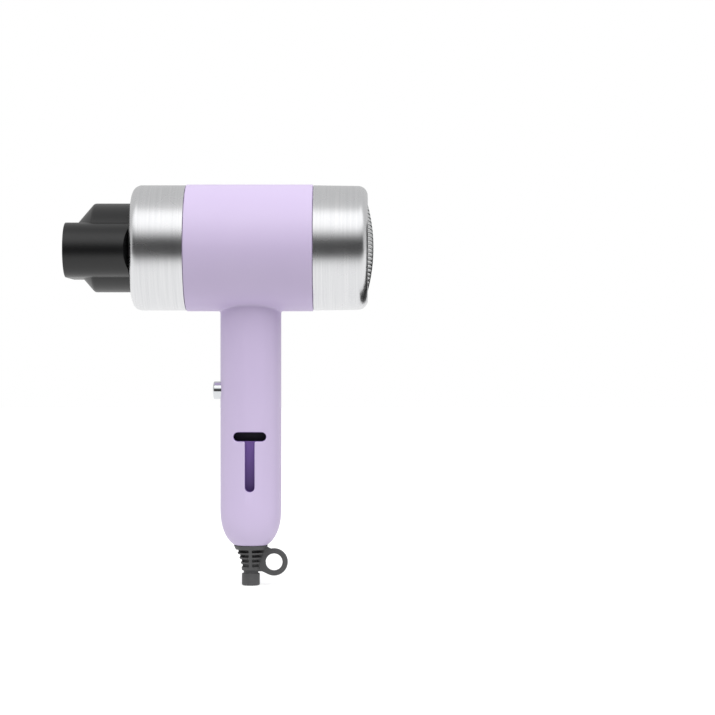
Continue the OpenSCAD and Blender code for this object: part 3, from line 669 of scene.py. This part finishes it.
collar_x = back_x - COLLAR_LEN
cone_x = collar_x - CONE_LEN
cone_r = MOUTH_H / 2 - DUCT_DROP
groove_x = neck_x - GROOVE_BACK
ear_start = MOUTH_W / 2 - EAR_CUT


def duct_ring(x, inset):
    """The flat duct's outline, with round ends, drawn inwards by inset."""
    r, reach = MOUTH_H / 2 - inset, (MOUTH_W - MOUTH_H) / 2
    outline = []
    for side in (1, -1):
        for turn in range(-90, 91, 6):
            angle = math.radians(turn)
            outline.append(Vector((x, side * (reach + r * math.cos(angle)),
                                   AXIS_Z - DUCT_DROP + side * r * math.sin(angle))))
    return outline


def ear_wedge(side, x, start):
    """A block that slants the back of an ear."""
    far = MOUTH_W / 2 + 2 * MM
    lean = (far - start) * EAR_SLOPE
    plan = [(x + 0.01 * MM, start), (x - lean, far), (x + 5 * MM, far), (x + 5 * MM, start)]
    verts = [(px, side * py, AXIS_Z + dz) for dz in (-40 * MM, 40 * MM) for px, py in plan]
    return add_mesh("ear_wedge", verts, [(0, 1, 2, 3), (4, 5, 6, 7)]
                    + [(k, (k + 1) % 4, 4 + (k + 1) % 4, 4 + k) for k in range(4)])


def bend(corner, before, after, radius, steps=5):
    """Points of a soft corner in a profile of (radius, along) points."""
    c, b, a = Vector(corner), Vector(before), Vector(after)
    one, two = c + (b - c).normalized() * radius, c + (a - c).normalized() * radius
    points = [one * (1 - t) ** 2 + c * 2 * t * (1 - t) + two * t * t
              for t in (k / steps for k in range(steps + 1))]
    return [tuple(p) for p in points]


cone_start, collar_edge, collar_back = (cone_r, cone_x), (COLLAR_R, collar_x), (COLLAR_R, back_x)
round_part = revolve("nozzle_body", (
    [(0, cone_x), cone_start] + bend(collar_edge, cone_start, collar_back, COLLAR_ROUND)
    + bend(collar_back, collar_edge, (NECK_R, back_x), NECK_CHAMFER)
    + [(NECK_R, back_x), (NECK_R, groove_x), (NECK_R - GROOVE_DEPTH, groove_x),
       (NECK_R - GROOVE_DEPTH, groove_x + GROOVE_WIDTH), (NECK_R, groove_x + GROOVE_WIDTH),
       (NECK_R, neck_x - NECK_CHAMFER), (NECK_R - NECK_CHAMFER, neck_x), (0, neck_x)]),
    on_barrel, 192)
RIM_R = 0.5 * MM
rim = [(mouth_x + RIM_R * (1 - math.sin(math.radians(18 * k))),
        RIM_R * (1 - math.cos(math.radians(18 * k)))) for k in range(5, -1, -1)]
flat_part = loft("nozzle_duct", [duct_ring(x, inset) for x, inset in rim]
                 + [duct_ring(back_x, 0)])
flat_inside = loft("duct_inside", [duct_ring(mouth_x - 1 * MM, NOZZLE_WALL - 0.3 * MM),
                                   duct_ring(mouth_x + 0.3 * MM, NOZZLE_WALL),
                                   duct_ring(back_x - EAR_WALL, NOZZLE_WALL)])
combine(flat_part, [ear_wedge(side, back_x, ear_start) for side in (1, -1)], "DIFFERENCE")
combine(flat_inside, [ear_wedge(side, back_x - EAR_WALL + 0.5 * MM, ear_start - 1 * MM)
                      for side in (1, -1)], "DIFFERENCE")
inner_r = COLLAR_R - NOZZLE_WALL - 0.4 * MM
neck_inner_r = NECK_R - NECK_WALL
round_inside = revolve("nozzle_inside", [
    (0, cone_x - 1 * MM), (cone_r - NOZZLE_WALL, cone_x), (inner_r, collar_x),
    (inner_r, back_x - 3 * MM), (neck_inner_r, back_x), (neck_inner_r, neck_x + 1 * MM),
    (0, neck_x + 1 * MM)], on_barrel, 192)
combine(round_part, [flat_part], "UNION")
combine(round_part, [round_inside, flat_inside], "DIFFERENCE")

nylon, nylon_tree, nylon_out = new_material("polyamide_black_moulded")
# Black glass-filled polyamide off a satin mould: a broad soft shine over a deep black
nylon_place = add_node(nylon_tree, "ShaderNodeTexCoord").outputs["Object"]
nylon_grain = add_node(nylon_tree, "ShaderNodeTexNoise", Vector=nylon_place, Scale=1 / (0.8 * MM),
                       Detail=3.0)
nylon_flow = add_node(nylon_tree, "ShaderNodeTexNoise", Vector=nylon_place, Scale=1 / (14 * MM))
nylon_tint = add_node(nylon_tree, "ShaderNodeMix", {"data_type": "RGBA"}, i0=nylon_flow,
                      i6=paint("#0B0B0C"), i7=paint("#101012"))
nylon_rough = add_node(nylon_tree, "ShaderNodeMapRange", Value=nylon_grain,
                       To_Min=0.30, To_Max=0.42)
nylon_bump = add_node(nylon_tree, "ShaderNodeBump", Height=nylon_grain,
                      Strength=0.08, Distance=0.05 * MM)
nylon_shader = add_node(nylon_tree, "ShaderNodeBsdfPrincipled", Base_Color=nylon_tint.outputs[2],
                        Roughness=nylon_rough, Normal=nylon_bump, IOR=1.58)
nylon_tree.links.new(nylon_shader.outputs[0], nylon_out.inputs["Surface"])
mount(smooth_faces(round_part, 24), nylon, "nozzle", "nozzle")
finish_with(NODES["filter_rim"], nylon)

# ---------------------------------------------------------------------------
# Inlet filter
# A shallow dome of perforated stainless steel, pressed from sheet and crimped into the
# black rim, with nylon lint gauze behind it. The holes stand in a honeycomb pattern.
# ---------------------------------------------------------------------------
DOME_R = 104 * MM
MESH_R = 30.2 * MM
MESH_SINK = 0.9 * MM
SAME_POINT = 0.01 * MM
SHEET = 0.8 * MM
HOLE_PITCH = 2.8 * MM
HOLE_R = 0.98 * MM
DIMPLE = 0.5 * MM
BAND_R = 28.4 * MM
BAND_EDGE = MESH_R - 0.05 * MM
BAND_PROUD = 0.06 * MM
BAND_BACK = 0.75 * MM
BAND_STEPS = 144
SIDES = 12
ROW_PITCH = HOLE_PITCH * math.sqrt(3) / 2
HOLE_MARGIN = HOLE_PITCH * 0.62
dome_base = end_x - MESH_SINK
dome_centre = dome_base - math.sqrt(DOME_R ** 2 - MESH_R ** 2)


def on_dome(y, z, depth):
    """A point of the domed sheet, depth below its outer face."""
    reach = Vector((math.sqrt(DOME_R ** 2 - y * y - z * z), y, z))
    return reach * ((DOME_R - depth) / DOME_R) + Vector((dome_centre, 0, AXIS_Z))


mesh_points, mesh_faces, shared = [], [], {}


def corner_index(y, z, depth):
    """The index of a point that neighbouring cells share."""
    key = (round(y / SAME_POINT), round(z / SAME_POINT), depth > 0)
    if key not in shared:
        shared[key] = len(mesh_points)
        mesh_points.append(on_dome(y, z, depth))
    return shared[key]


cells = []
rows = int(MESH_R / ROW_PITCH) + 1
for row in range(-rows, rows + 1):
    for column in range(-rows, rows + 1):
        y, z = (column + (row % 2) / 2) * HOLE_PITCH, row * ROW_PITCH
        if math.hypot(y, z) < MESH_R - HOLE_MARGIN:
            cells.append((y, z))
edges_used = {}
for y, z in cells:
    rims = []
    for depth in (0, SHEET):
        outer, hole = [], []
        for k in range(SIDES):
            turn = math.pi / 6 + 2 * math.pi * k / SIDES
            reach = HOLE_PITCH / math.sqrt(3) if k % 2 == 0 else HOLE_PITCH / 2
            outer.append(corner_index(y + reach * math.cos(turn), z + reach * math.sin(turn), depth))
            hole.append(len(mesh_points))
            mesh_points.append(on_dome(y + HOLE_R * math.cos(turn), z + HOLE_R * math.sin(turn),
                                       depth or DIMPLE))
        rims.append((outer, hole))
    (top, top_hole), (back, back_hole) = rims
    for k in range(SIDES):
        n = (k + 1) % SIDES
        mesh_faces.append((top[k], top[n], top_hole[n], top_hole[k]))
        mesh_faces.append((back[k], back[n], back_hole[n], back_hole[k]))
        mesh_faces.append((top_hole[k], top_hole[n], back_hole[n], back_hole[k]))
        side = tuple(sorted((top[k], top[n])))
        edges_used.setdefault(side, []).append((top[k], top[n], back[n], back[k]))
# Only an edge that one cell alone uses is on the outside, and gets a wall
mesh_faces += [walls[0] for walls in edges_used.values() if len(walls) == 1]
band_start = len(mesh_points)
band_profile = [(BAND_R, -BAND_PROUD), (BAND_EDGE, -BAND_PROUD), (BAND_EDGE, BAND_BACK),
                (BAND_R, BAND_BACK)]
for r, depth in band_profile:
    for k in range(BAND_STEPS):
        turn = 2 * math.pi * k / BAND_STEPS
        mesh_points.append(on_dome(r * math.sin(turn), r * math.cos(turn), depth))
for ring in range(4):
    for k in range(BAND_STEPS):
        n, after = (k + 1) % BAND_STEPS, (ring + 1) % 4
        mesh_faces.append((band_start + ring * BAND_STEPS + k, band_start + ring * BAND_STEPS + n,
                           band_start + after * BAND_STEPS + n, band_start + after * BAND_STEPS + k))
perforated = smooth_faces(add_mesh("inlet_mesh", mesh_points, mesh_faces), 40)

stainless, stainless_tree, stainless_out = new_material("stainless_sheet_perforated")
# Rolled stainless sheet: bright, with fine rolling streaks and slightly duller patches
stainless_place = add_node(stainless_tree, "ShaderNodeMapping",
                           Vector=add_node(stainless_tree, "ShaderNodeTexCoord").outputs["Object"],
                           Scale=(1 / (8 * MM), 1 / (8 * MM), 1 / (0.6 * MM)))
stainless_roll = add_node(stainless_tree, "ShaderNodeTexNoise", Vector=stainless_place,
                          Scale=1.0, Detail=2.0)
stainless_rough = add_node(stainless_tree, "ShaderNodeMapRange", Value=stainless_roll,
                           To_Min=0.18, To_Max=0.28)
stainless_tint = add_node(stainless_tree, "ShaderNodeMix", {"data_type": "RGBA"},
                          i0=stainless_roll, i6=paint("#D4D5D6"), i7=paint("#ECEDED"))
stainless_shader = add_node(stainless_tree, "ShaderNodeBsdfPrincipled", Metallic=1.0,
                            Base_Color=stainless_tint.outputs[2], Roughness=stainless_rough)
stainless_tree.links.new(stainless_shader.outputs[0], stainless_out.inputs["Surface"])
mount(perforated, stainless, "filter_mesh", "filter")

gauze, gauze_tree, gauze_out = new_material("nylon_gauze_woven")
# Plain-woven nylon, drawn at 0.8 mm between threads where the real one has 0.4 mm
THREAD = 2 * math.pi / (0.8 * MM)
gauze_axes = add_node(gauze_tree, "ShaderNodeSeparateXYZ",
                      Vector=add_node(gauze_tree, "ShaderNodeTexCoord").outputs["Object"])
gauze_threads = []
for axis in ("Y", "Z"):
    phase = add_node(gauze_tree, "ShaderNodeMath", MULTIPLY, i0=gauze_axes.outputs[axis], i1=THREAD)
    gauze_threads.append(add_node(gauze_tree, "ShaderNodeMath", {"operation": "SINE"}, i0=phase))
gauze_weave = add_node(gauze_tree, "ShaderNodeMath", MULTIPLY, i0=gauze_threads[0],
                       i1=gauze_threads[1])
gauze_lift = add_node(gauze_tree, "ShaderNodeMapRange", SMOOTH, Value=gauze_weave, From_Min=-1.0,
                      From_Max=1.0)
gauze_tint = add_node(gauze_tree, "ShaderNodeMix", {"data_type": "RGBA"}, i0=gauze_lift,
                      i6=paint("#0C0C0D"), i7=paint("#2A2A2C"))
gauze_bump = add_node(gauze_tree, "ShaderNodeBump", Height=gauze_weave, Strength=0.5,
                      Distance=0.15 * MM)
gauze_shader = add_node(gauze_tree, "ShaderNodeBsdfPrincipled", Base_Color=gauze_tint.outputs[2],
                        Roughness=0.85, Normal=gauze_bump)
gauze_tree.links.new(gauze_shader.outputs[0], gauze_out.inputs["Surface"])
finish_with(NODES["lint_screen"], gauze)

# ---------------------------------------------------------------------------
# Slot tray
# The slot's floor is a tray of violet ABS that is welded inside the near moulding. Its violet is
# painted shade: set darker than the plastic to stand in for the shade in the slot. It is shallow at the
# top of the stem, and deep behind the crossbar, where painted shade darkens it nearly to black.
# ---------------------------------------------------------------------------
violet, violet_tree, violet_out = new_material("violet_abs_eroded_painted_shade")
# A dull eroded face: violet where it is shallow, darkened nearly to black by painted shade where it is deep
violet_place = add_node(violet_tree, "ShaderNodeTexCoord").outputs["Object"]
violet_axes = add_node(violet_tree, "ShaderNodeSeparateXYZ", Vector=violet_place)
violet_grain = add_node(violet_tree, "ShaderNodeTexNoise", Vector=violet_place, Scale=1 / (0.9 * MM),
                        Detail=2.0)
SHALLOW_Y = -13.4 * MM
DEEP_Y = -8.6 * MM
# Painted shade: past SHALLOW_Y the colour fades to near black with depth, standing in for the shade deep in
# the slot
violet_painted_shade_depth = add_node(violet_tree, "ShaderNodeMapRange", SMOOTH, Value=violet_axes.outputs["Y"],
                       From_Min=SHALLOW_Y, From_Max=DEEP_Y)
# Painted shade: the violet is set darker than the plastic to stand in for the shade on the slot's floor
violet_tint_with_painted_shade = add_node(violet_tree, "ShaderNodeMix", {"data_type": "RGBA"}, i0=violet_painted_shade_depth,
                       i6=paint("#795AA4"), i7=paint("#1A0E26"))
violet_bump = add_node(violet_tree, "ShaderNodeBump", Height=violet_grain, Strength=0.1,
                       Distance=0.05 * MM)
violet_rough = add_node(violet_tree, "ShaderNodeMapRange", Value=violet_grain,
                        To_Min=0.5, To_Max=0.62)
violet_shader = add_node(violet_tree, "ShaderNodeBsdfPrincipled", Base_Color=violet_tint_with_painted_shade.outputs[2],
                         Roughness=violet_rough, Normal=violet_bump, IOR=1.53)
violet_tree.links.new(violet_shader.outputs[0], violet_out.inputs["Surface"])
finish_with(NODES["slot_tray"], violet)

# ---------------------------------------------------------------------------
# Push button
# One press starts and stops the fan. It is moulded in ABS, plated with bright chrome,
# and its flange holds it behind the hole in the handle.
# ---------------------------------------------------------------------------
BUTTON_R = 5.5 * MM
BUTTON_DOME = 0.45 * MM
BUTTON_EDGE = 0.9 * MM
FLANGE_R = BUTTON_R + 1.1 * MM
FLANGE_X = (-15 * MM, -13.7 * MM)
PIN_R = 2 * MM
button_low, button_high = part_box("power_button")
button_face = button_low.x
button_profile = ([(0, button_face), (BUTTON_R * 0.25, button_face + BUTTON_DOME * 0.06),
                   (BUTTON_R * 0.45, button_face + BUTTON_DOME * 0.2),
                   (BUTTON_R * 0.65, button_face + BUTTON_DOME * 0.52)]
                  + arc_points((BUTTON_R - BUTTON_EDGE, button_face + BUTTON_DOME + BUTTON_EDGE),
                               BUTTON_EDGE, -80, 0, 10)
                  + [(BUTTON_R, FLANGE_X[0]), (FLANGE_R, FLANGE_X[0]), (FLANGE_R, FLANGE_X[1]),
                     (PIN_R, FLANGE_X[1]), (PIN_R, button_high.x), (0, button_high.x)])
chrome, chrome_tree, chrome_out = new_material("chrome_plated_bright")
# Bright chrome: a near mirror, with a slight waviness from the moulding under it
chrome_place = add_node(chrome_tree, "ShaderNodeTexCoord").outputs["Object"]
chrome_wave = add_node(chrome_tree, "ShaderNodeTexNoise", Vector=chrome_place, Scale=1 / (3 * MM))
chrome_rough = add_node(chrome_tree, "ShaderNodeMapRange", Value=chrome_wave,
                        To_Min=0.06, To_Max=0.12)
chrome_bump = add_node(chrome_tree, "ShaderNodeBump", Height=chrome_wave,
                       Strength=0.1, Distance=0.1 * MM)
chrome_shader = add_node(chrome_tree, "ShaderNodeBsdfPrincipled", Base_Color=paint("#E1E3E6"),
                         Metallic=1.0, Roughness=chrome_rough, Normal=chrome_bump)
chrome_tree.links.new(chrome_shader.outputs[0], chrome_out.inputs["Surface"])
mount(smooth_faces(revolve("push_button", button_profile, button_line, 96)),
      chrome, "power_button", "button")

# Three turns of hard-drawn steel wire push the button out; they close up as it is pressed
COIL_R = 3.4 * MM
WIRE_R = 0.35 * MM
COIL_FOOT = -9.3 * MM
COIL_HEAD = -13.2 * MM
COIL_TURNS = 3
COIL_STEPS = 32 * COIL_TURNS
coil_rings = []
for k in range(COIL_STEPS + 1):
    turn = 2 * math.pi * COIL_TURNS * k / COIL_STEPS
    outward = Vector((0, math.cos(turn), math.sin(turn)))
    along = COIL_HEAD + (COIL_FOOT - COIL_HEAD) * k / COIL_STEPS
    middle = Vector((along, 0, BUTTON_Z)) + outward * COIL_R
    ring = []
    for n in range(10):
        side = 2 * math.pi * n / 10
        ring.append(middle + outward * WIRE_R * math.cos(side) + Vector((WIRE_R * math.sin(side), 0, 0)))
    coil_rings.append(ring)
coil = smooth_faces(loft("return_spring", coil_rings), 50)
spring_steel, spring_tree, spring_out = new_material("spring_steel_drawn")
# Hard-drawn spring steel: bright, with die marks along the wire
spring_place = add_node(spring_tree, "ShaderNodeTexCoord").outputs["Object"]
spring_marks = add_node(spring_tree, "ShaderNodeTexNoise", Vector=spring_place, Scale=1 / (0.4 * MM))
spring_tint = add_node(spring_tree, "ShaderNodeMix", {"data_type": "RGBA"},
                       i0=spring_marks, i6=paint("#97989B"), i7=paint("#BFC0C2"))
spring_rough = add_node(spring_tree, "ShaderNodeMapRange", Value=spring_marks,
                        To_Min=0.2, To_Max=0.35)
spring_shader = add_node(spring_tree, "ShaderNodeBsdfPrincipled", Base_Color=spring_tint.outputs[2],
                         Metallic=1.0, Roughness=spring_rough)
spring_tree.links.new(spring_shader.outputs[0], spring_out.inputs["Surface"])
mount(coil, spring_steel, "button_spring", "housing")
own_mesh(coil)
finish_with(NODES["nozzle_snap_ring"], spring_steel)

# ---------------------------------------------------------------------------
# Strain relief
# Dark grey PVC in one moulding: a flange that sits in the handle's end, a tapered body
# with slots that let it bend, a collar for the cord, and a web with a hanging ring.
# ---------------------------------------------------------------------------
RING_AT = 14.4 * MM
RING_R = 8.5 * MM
RING_HOLE = 5.2 * MM
RING_HALF = 1.55 * MM
CORD_R = 3.4 * MM
relief_outline = [(CORD_R / MM, 0), (5.0, 0), (5.6, 0.6), (5.6, 6.5), (5.5, 9), (5.8, 11.5), (6.2, 14),
                  (6.8, 16.4), (7.75, 19), (8.9, 21.4), (10.1, 23.7), (10.6, 24.9), (10.1, 25.0),
                  (9.5, 24.65), (8.5, 24.3), (7.6, 24.15), (6.5, 24.1), (6.5, 26.7), (9.3, 26.7),
                  (9.3, 29.1), (CORD_R / MM, 29.1)]
relief = revolve("cord_relief", [(r * MM, z * MM) for r, z in relief_outline], down, 96, True)


SLOT_H = 1.75 * MM
RIB_HALF = 1.0 * MM
SIDE_RIB_HALF = 1.1 * MM
PAST_IT = 13 * MM
ABOVE_IT = 30 * MM
# Each slot's height, how far the rib at its side reaches, and the radius of its floor, in
# mm. The lowest runs all the way round and has no ribs
RELIEF_SLOTS = ((21.3, 7.7, 4.0), (18.4, 6.6, 4.0), (15.4, 5.6, 3.9), (12.4, 5.1, 3.9), (8.4, 0, 4.5))
for z, rib, floor in RELIEF_SLOTS:
    low, high = z * MM - SLOT_H / 2, z * MM + SLOT_H / 2
    slot_ring = revolve("slot_ring", [(floor * MM, low), (PAST_IT - MM, low), (PAST_IT - MM, high),
                                      (floor * MM, high)], down, 96, True)
    if rib:
        combine(slot_ring, [
            box("rib", (-RIB_HALF, -PAST_IT, 0), (RIB_HALF, PAST_IT, ABOVE_IT)),
            box("side_rib", (-rib * MM, -SIDE_RIB_HALF, 0), (0, SIDE_RIB_HALF, ABOVE_IT))],
            "DIFFERENCE")
    combine(relief, [slot_ring], "DIFFERENCE")
RING_EDGE = 0.9 * MM
ring_out, ring_in, ring_side = RING_R - RING_EDGE, RING_HOLE + RING_EDGE, RING_HALF - RING_EDGE
ring_profile = []
for centre, start in (((ring_out, ring_side), 0), ((ring_in, ring_side), 90),
                      ((ring_in, -ring_side), 180), ((ring_out, -ring_side), 270)):
    ring_profile += arc_points(centre, RING_EDGE, start, start + 90, 5)
hanging_ring = revolve("hanging_ring", ring_profile, across(RING_AT, RING_AT), 96, True)
WEB_HALF = 1.5 * MM
web_plan = [(4.2, 8.6), (7.0, 8.6), (10.6, 6.9), (9.5, 12), (9.0, 17), (12.6, 22.5), (10.2, 23.9),
            (4.2, 23.9)]
web = loft("ring_web", [[Vector((x * MM, y, z * MM)) for x, z in web_plan]
                        for y in (-WEB_HALF, WEB_HALF)])
fuse = bmesh.new()
for part in (relief, hanging_ring, web):
    fuse.from_mesh(part.data)
fuse.to_mesh(relief.data)
fuse.free()
for part in (hanging_ring, web):
    bpy.data.objects.remove(part)
# The three parts are melted into one skin with soft corners, and thinned out
for kind, settings in (("REMESH", {"mode": "VOXEL", "voxel_size": 0.25 * MM}),
                       ("SMOOTH", {"factor": 0.5, "iterations": 3}),
                       ("DECIMATE", {"ratio": 0.35})):
    step = relief.modifiers.new("step", kind)
    for key, value in settings.items():
        setattr(step, key, value)
relief_mesh = bpy.data.meshes.new_from_object(
    relief.evaluated_get(bpy.context.evaluated_depsgraph_get()))
relief.modifiers.clear()
relief.data = relief_mesh

pvc, pvc_tree, pvc_out = new_material("pvc_grey_overmoulded")
# Soft PVC: a dull waxy shine with fine handling marks
pvc_place = add_node(pvc_tree, "ShaderNodeTexCoord").outputs["Object"]
pvc_grain = add_node(pvc_tree, "ShaderNodeTexNoise", Vector=pvc_place, Scale=1 / (0.5 * MM), Detail=3.0)
pvc_wear = add_node(pvc_tree, "ShaderNodeTexNoise", Vector=pvc_place, Scale=1 / (6 * MM), Detail=2.0)
pvc_tint = add_node(pvc_tree, "ShaderNodeMix", {"data_type": "RGBA"}, i0=pvc_wear,
                    i6=paint("#454546"), i7=paint("#575758"))
pvc_rough = add_node(pvc_tree, "ShaderNodeMapRange", Value=pvc_grain,
                     To_Min=0.48, To_Max=0.62)
pvc_bump = add_node(pvc_tree, "ShaderNodeBump", Height=pvc_grain, Strength=0.15,
                    Distance=0.06 * MM)
pvc_shader = add_node(pvc_tree, "ShaderNodeBsdfPrincipled", Base_Color=pvc_tint.outputs[2],
                      Roughness=pvc_rough, Normal=pvc_bump, IOR=1.53)
pvc_tree.links.new(pvc_shader.outputs[0], pvc_out.inputs["Surface"])
mount(smooth_faces(relief, 60), pvc, "strain_relief", "housing")

# ---------------------------------------------------------------------------
# Parts inside
# Fan, motor, heater, switch board and wiring, most of them bought in. Each is seen only
# through the grille or with a moulding taken off, and has its own real finish.
# ---------------------------------------------------------------------------
def inner_finish(name, light, dark, rough, grain, metal=0.0, stretch=(1, 1, 1), bump=0.1):
    """A two-tone grained finish: colours, the range of roughness, and the grain's size in mm."""
    material, tree, out = new_material(name)
    place = add_node(tree, "ShaderNodeMapping",
                     Vector=add_node(tree, "ShaderNodeTexCoord").outputs["Object"],
                     Scale=[s / (grain * MM) for s in stretch])
    marks = add_node(tree, "ShaderNodeTexNoise", Vector=place, Scale=1.0, Detail=3.0)
    tint = add_node(tree, "ShaderNodeMix", {"data_type": "RGBA"}, i0=marks,
                    i6=paint(dark), i7=paint(light))
    shine = add_node(tree, "ShaderNodeMapRange", Value=marks, To_Min=rough[0],
                     To_Max=rough[1])
    relief_of_marks = add_node(tree, "ShaderNodeBump", Height=marks, Strength=bump,
                               Distance=0.05 * MM)
    shader = add_node(tree, "ShaderNodeBsdfPrincipled", Base_Color=tint.outputs[2],
                      Roughness=shine, Metallic=metal, Normal=relief_of_marks)
    tree.links.new(shader.outputs[0], out.inputs["Surface"])
    return material


ROUND_X = (1, 0.05, 0.05)
ALONG_X = (0.05, 1, 1)
for material, names in (
        # Matt black glass-filled nylon with fibre ends at its face
        (inner_finish("glass_nylon_black", "#1B1B1C", "#101011", (0.45, 0.65), 0.7),
         ("outlet_grille",)),
        # Dark grey glass-filled nylon, the fibres running out along the blades
        (inner_finish("glass_nylon_grey", "#3E3E42", "#333337", (0.4, 0.6), 0.9), ("impeller",)),
        # Unpigmented flame-retardant plastic, warm white with flow marks
        (inner_finish("polycarbonate_natural", "#DDD8CB", "#CFC9BA", (0.35, 0.5), 6), ("fan_duct",)),
        # Drawn steel with a bright zinc coat, its marks running along the draw
        (inner_finish("steel_drawn_zinc", "#C9CACB", "#A5A7A9", (0.22, 0.4), 0.5, 1.0, ALONG_X),
         ("motor_can", "motor_shaft")),
        # Silicon steel stampings in a stack 0.5 mm apart, with dull cut edges
        (inner_finish("silicon_steel_stacked", "#8E8F92", "#54555A", (0.4, 0.6), 0.5, 1.0, ROUND_X, 0.4),
         ("motor_armature",)),
        # Turned copper, rubbed bright by the brushes
        (inner_finish("copper_turned", "#D08A5C", "#A9633B", (0.2, 0.4), 0.3, 1.0, ROUND_X),
         ("motor_commutator", "motor_terminals")),
        # Oil-filled sintered bronze, porous and dull
        (inner_finish("bronze_sintered", "#9A7B4F", "#6F5636", (0.45, 0.7), 0.3, 1.0),
         ("motor_bushes",)),
        # Sintered ferrite: charcoal grey with a faint sparkle
        (inner_finish("ferrite_sintered", "#38383B", "#242427", (0.55, 0.75), 0.4), ("motor_magnets",)),
        # Moulded phenolic with a hard low shine
        (inner_finish("phenolic_black_moulded", "#1D1C1B", "#121111", (0.28, 0.4), 1.2),
         ("motor_end_cap", "micro_switch", "rectifier_diodes")),
        # Soft black rubber with a dusty bloom
        (inner_finish("rubber_black_moulded", "#242424", "#191919", (0.7, 0.85), 1.5), ("motor_damper",)),
        # Pressed mica: tan flakes in layers, with a pearly shine
        (inner_finish("mica_pressed", "#C9B183", "#8F7748", (0.3, 0.5), 2.2, 0.0, (1, 1, 1), 0.3),
         ("mica_sleeve", "mica_board_upright", "mica_board_flat")),
        # Nickel-chromium wire, dulled by heat
        (inner_finish("nichrome_heat_dulled", "#8D8984", "#5F5B57", (0.35, 0.55), 0.8, 1.0),
         ("heater_coil_main", "heater_coil_fan")),
        # White steatite with a thin clear glaze
        (inner_finish("steatite_glazed", "#E9E5DB", "#D9D4C7", (0.15, 0.3), 1.6),
         ("thermostat", "thermal_fuse")),
        # Glass-epoxy board under green mask, with the cloth weave just showing
        (inner_finish("glass_epoxy_masked", "#1E6437", "#17512C", (0.22, 0.35), 0.8), ("switch_board",)),
        # Natural nylon, milky and waxy
        (inner_finish("nylon_natural_moulded", "#E6E4DB", "#D8D5CA", (0.4, 0.55), 2.0),
         ("switch_plunger", "cord_clamp")),
        # Film capacitor dipped in yellow epoxy
        (inner_finish("epoxy_yellow_dipped", "#D3A02B", "#BE8B1F", (0.2, 0.32), 2.0), ("noise_capacitor",)),
        # Zinc-plated screws, with the faint rainbow dulled by handling
        (inner_finish("screw_steel_zinc", "#BDBEC0", "#94969A", (0.25, 0.45), 0.5, 1.0),
         ("case_screws", "board_screws", "clamp_screws")),
        # Red PVC crimp insulators with pressed marks
        (inner_finish("pvc_red_crimped", "#C22A20", "#A81F17", (0.3, 0.45), 1.2), ("crimp_sleeves",)),
        # Extruded PVC and silicone lead covers, smooth along the lead
        (inner_finish("pvc_brown_extruded", "#5A3220", "#482617", (0.35, 0.5), 1.0), ("mains_leads",)),
        (inner_finish("silicone_white_extruded", "#DEDDD8", "#CFCEC8", (0.5, 0.65), 1.0),
         ("heater_leads",)),
        (inner_finish("pvc_red_extruded", "#B01C18", "#971410", (0.35, 0.5), 1.0), ("motor_leads",))):
    for name in names:
        finish_with(NODES[name], material)
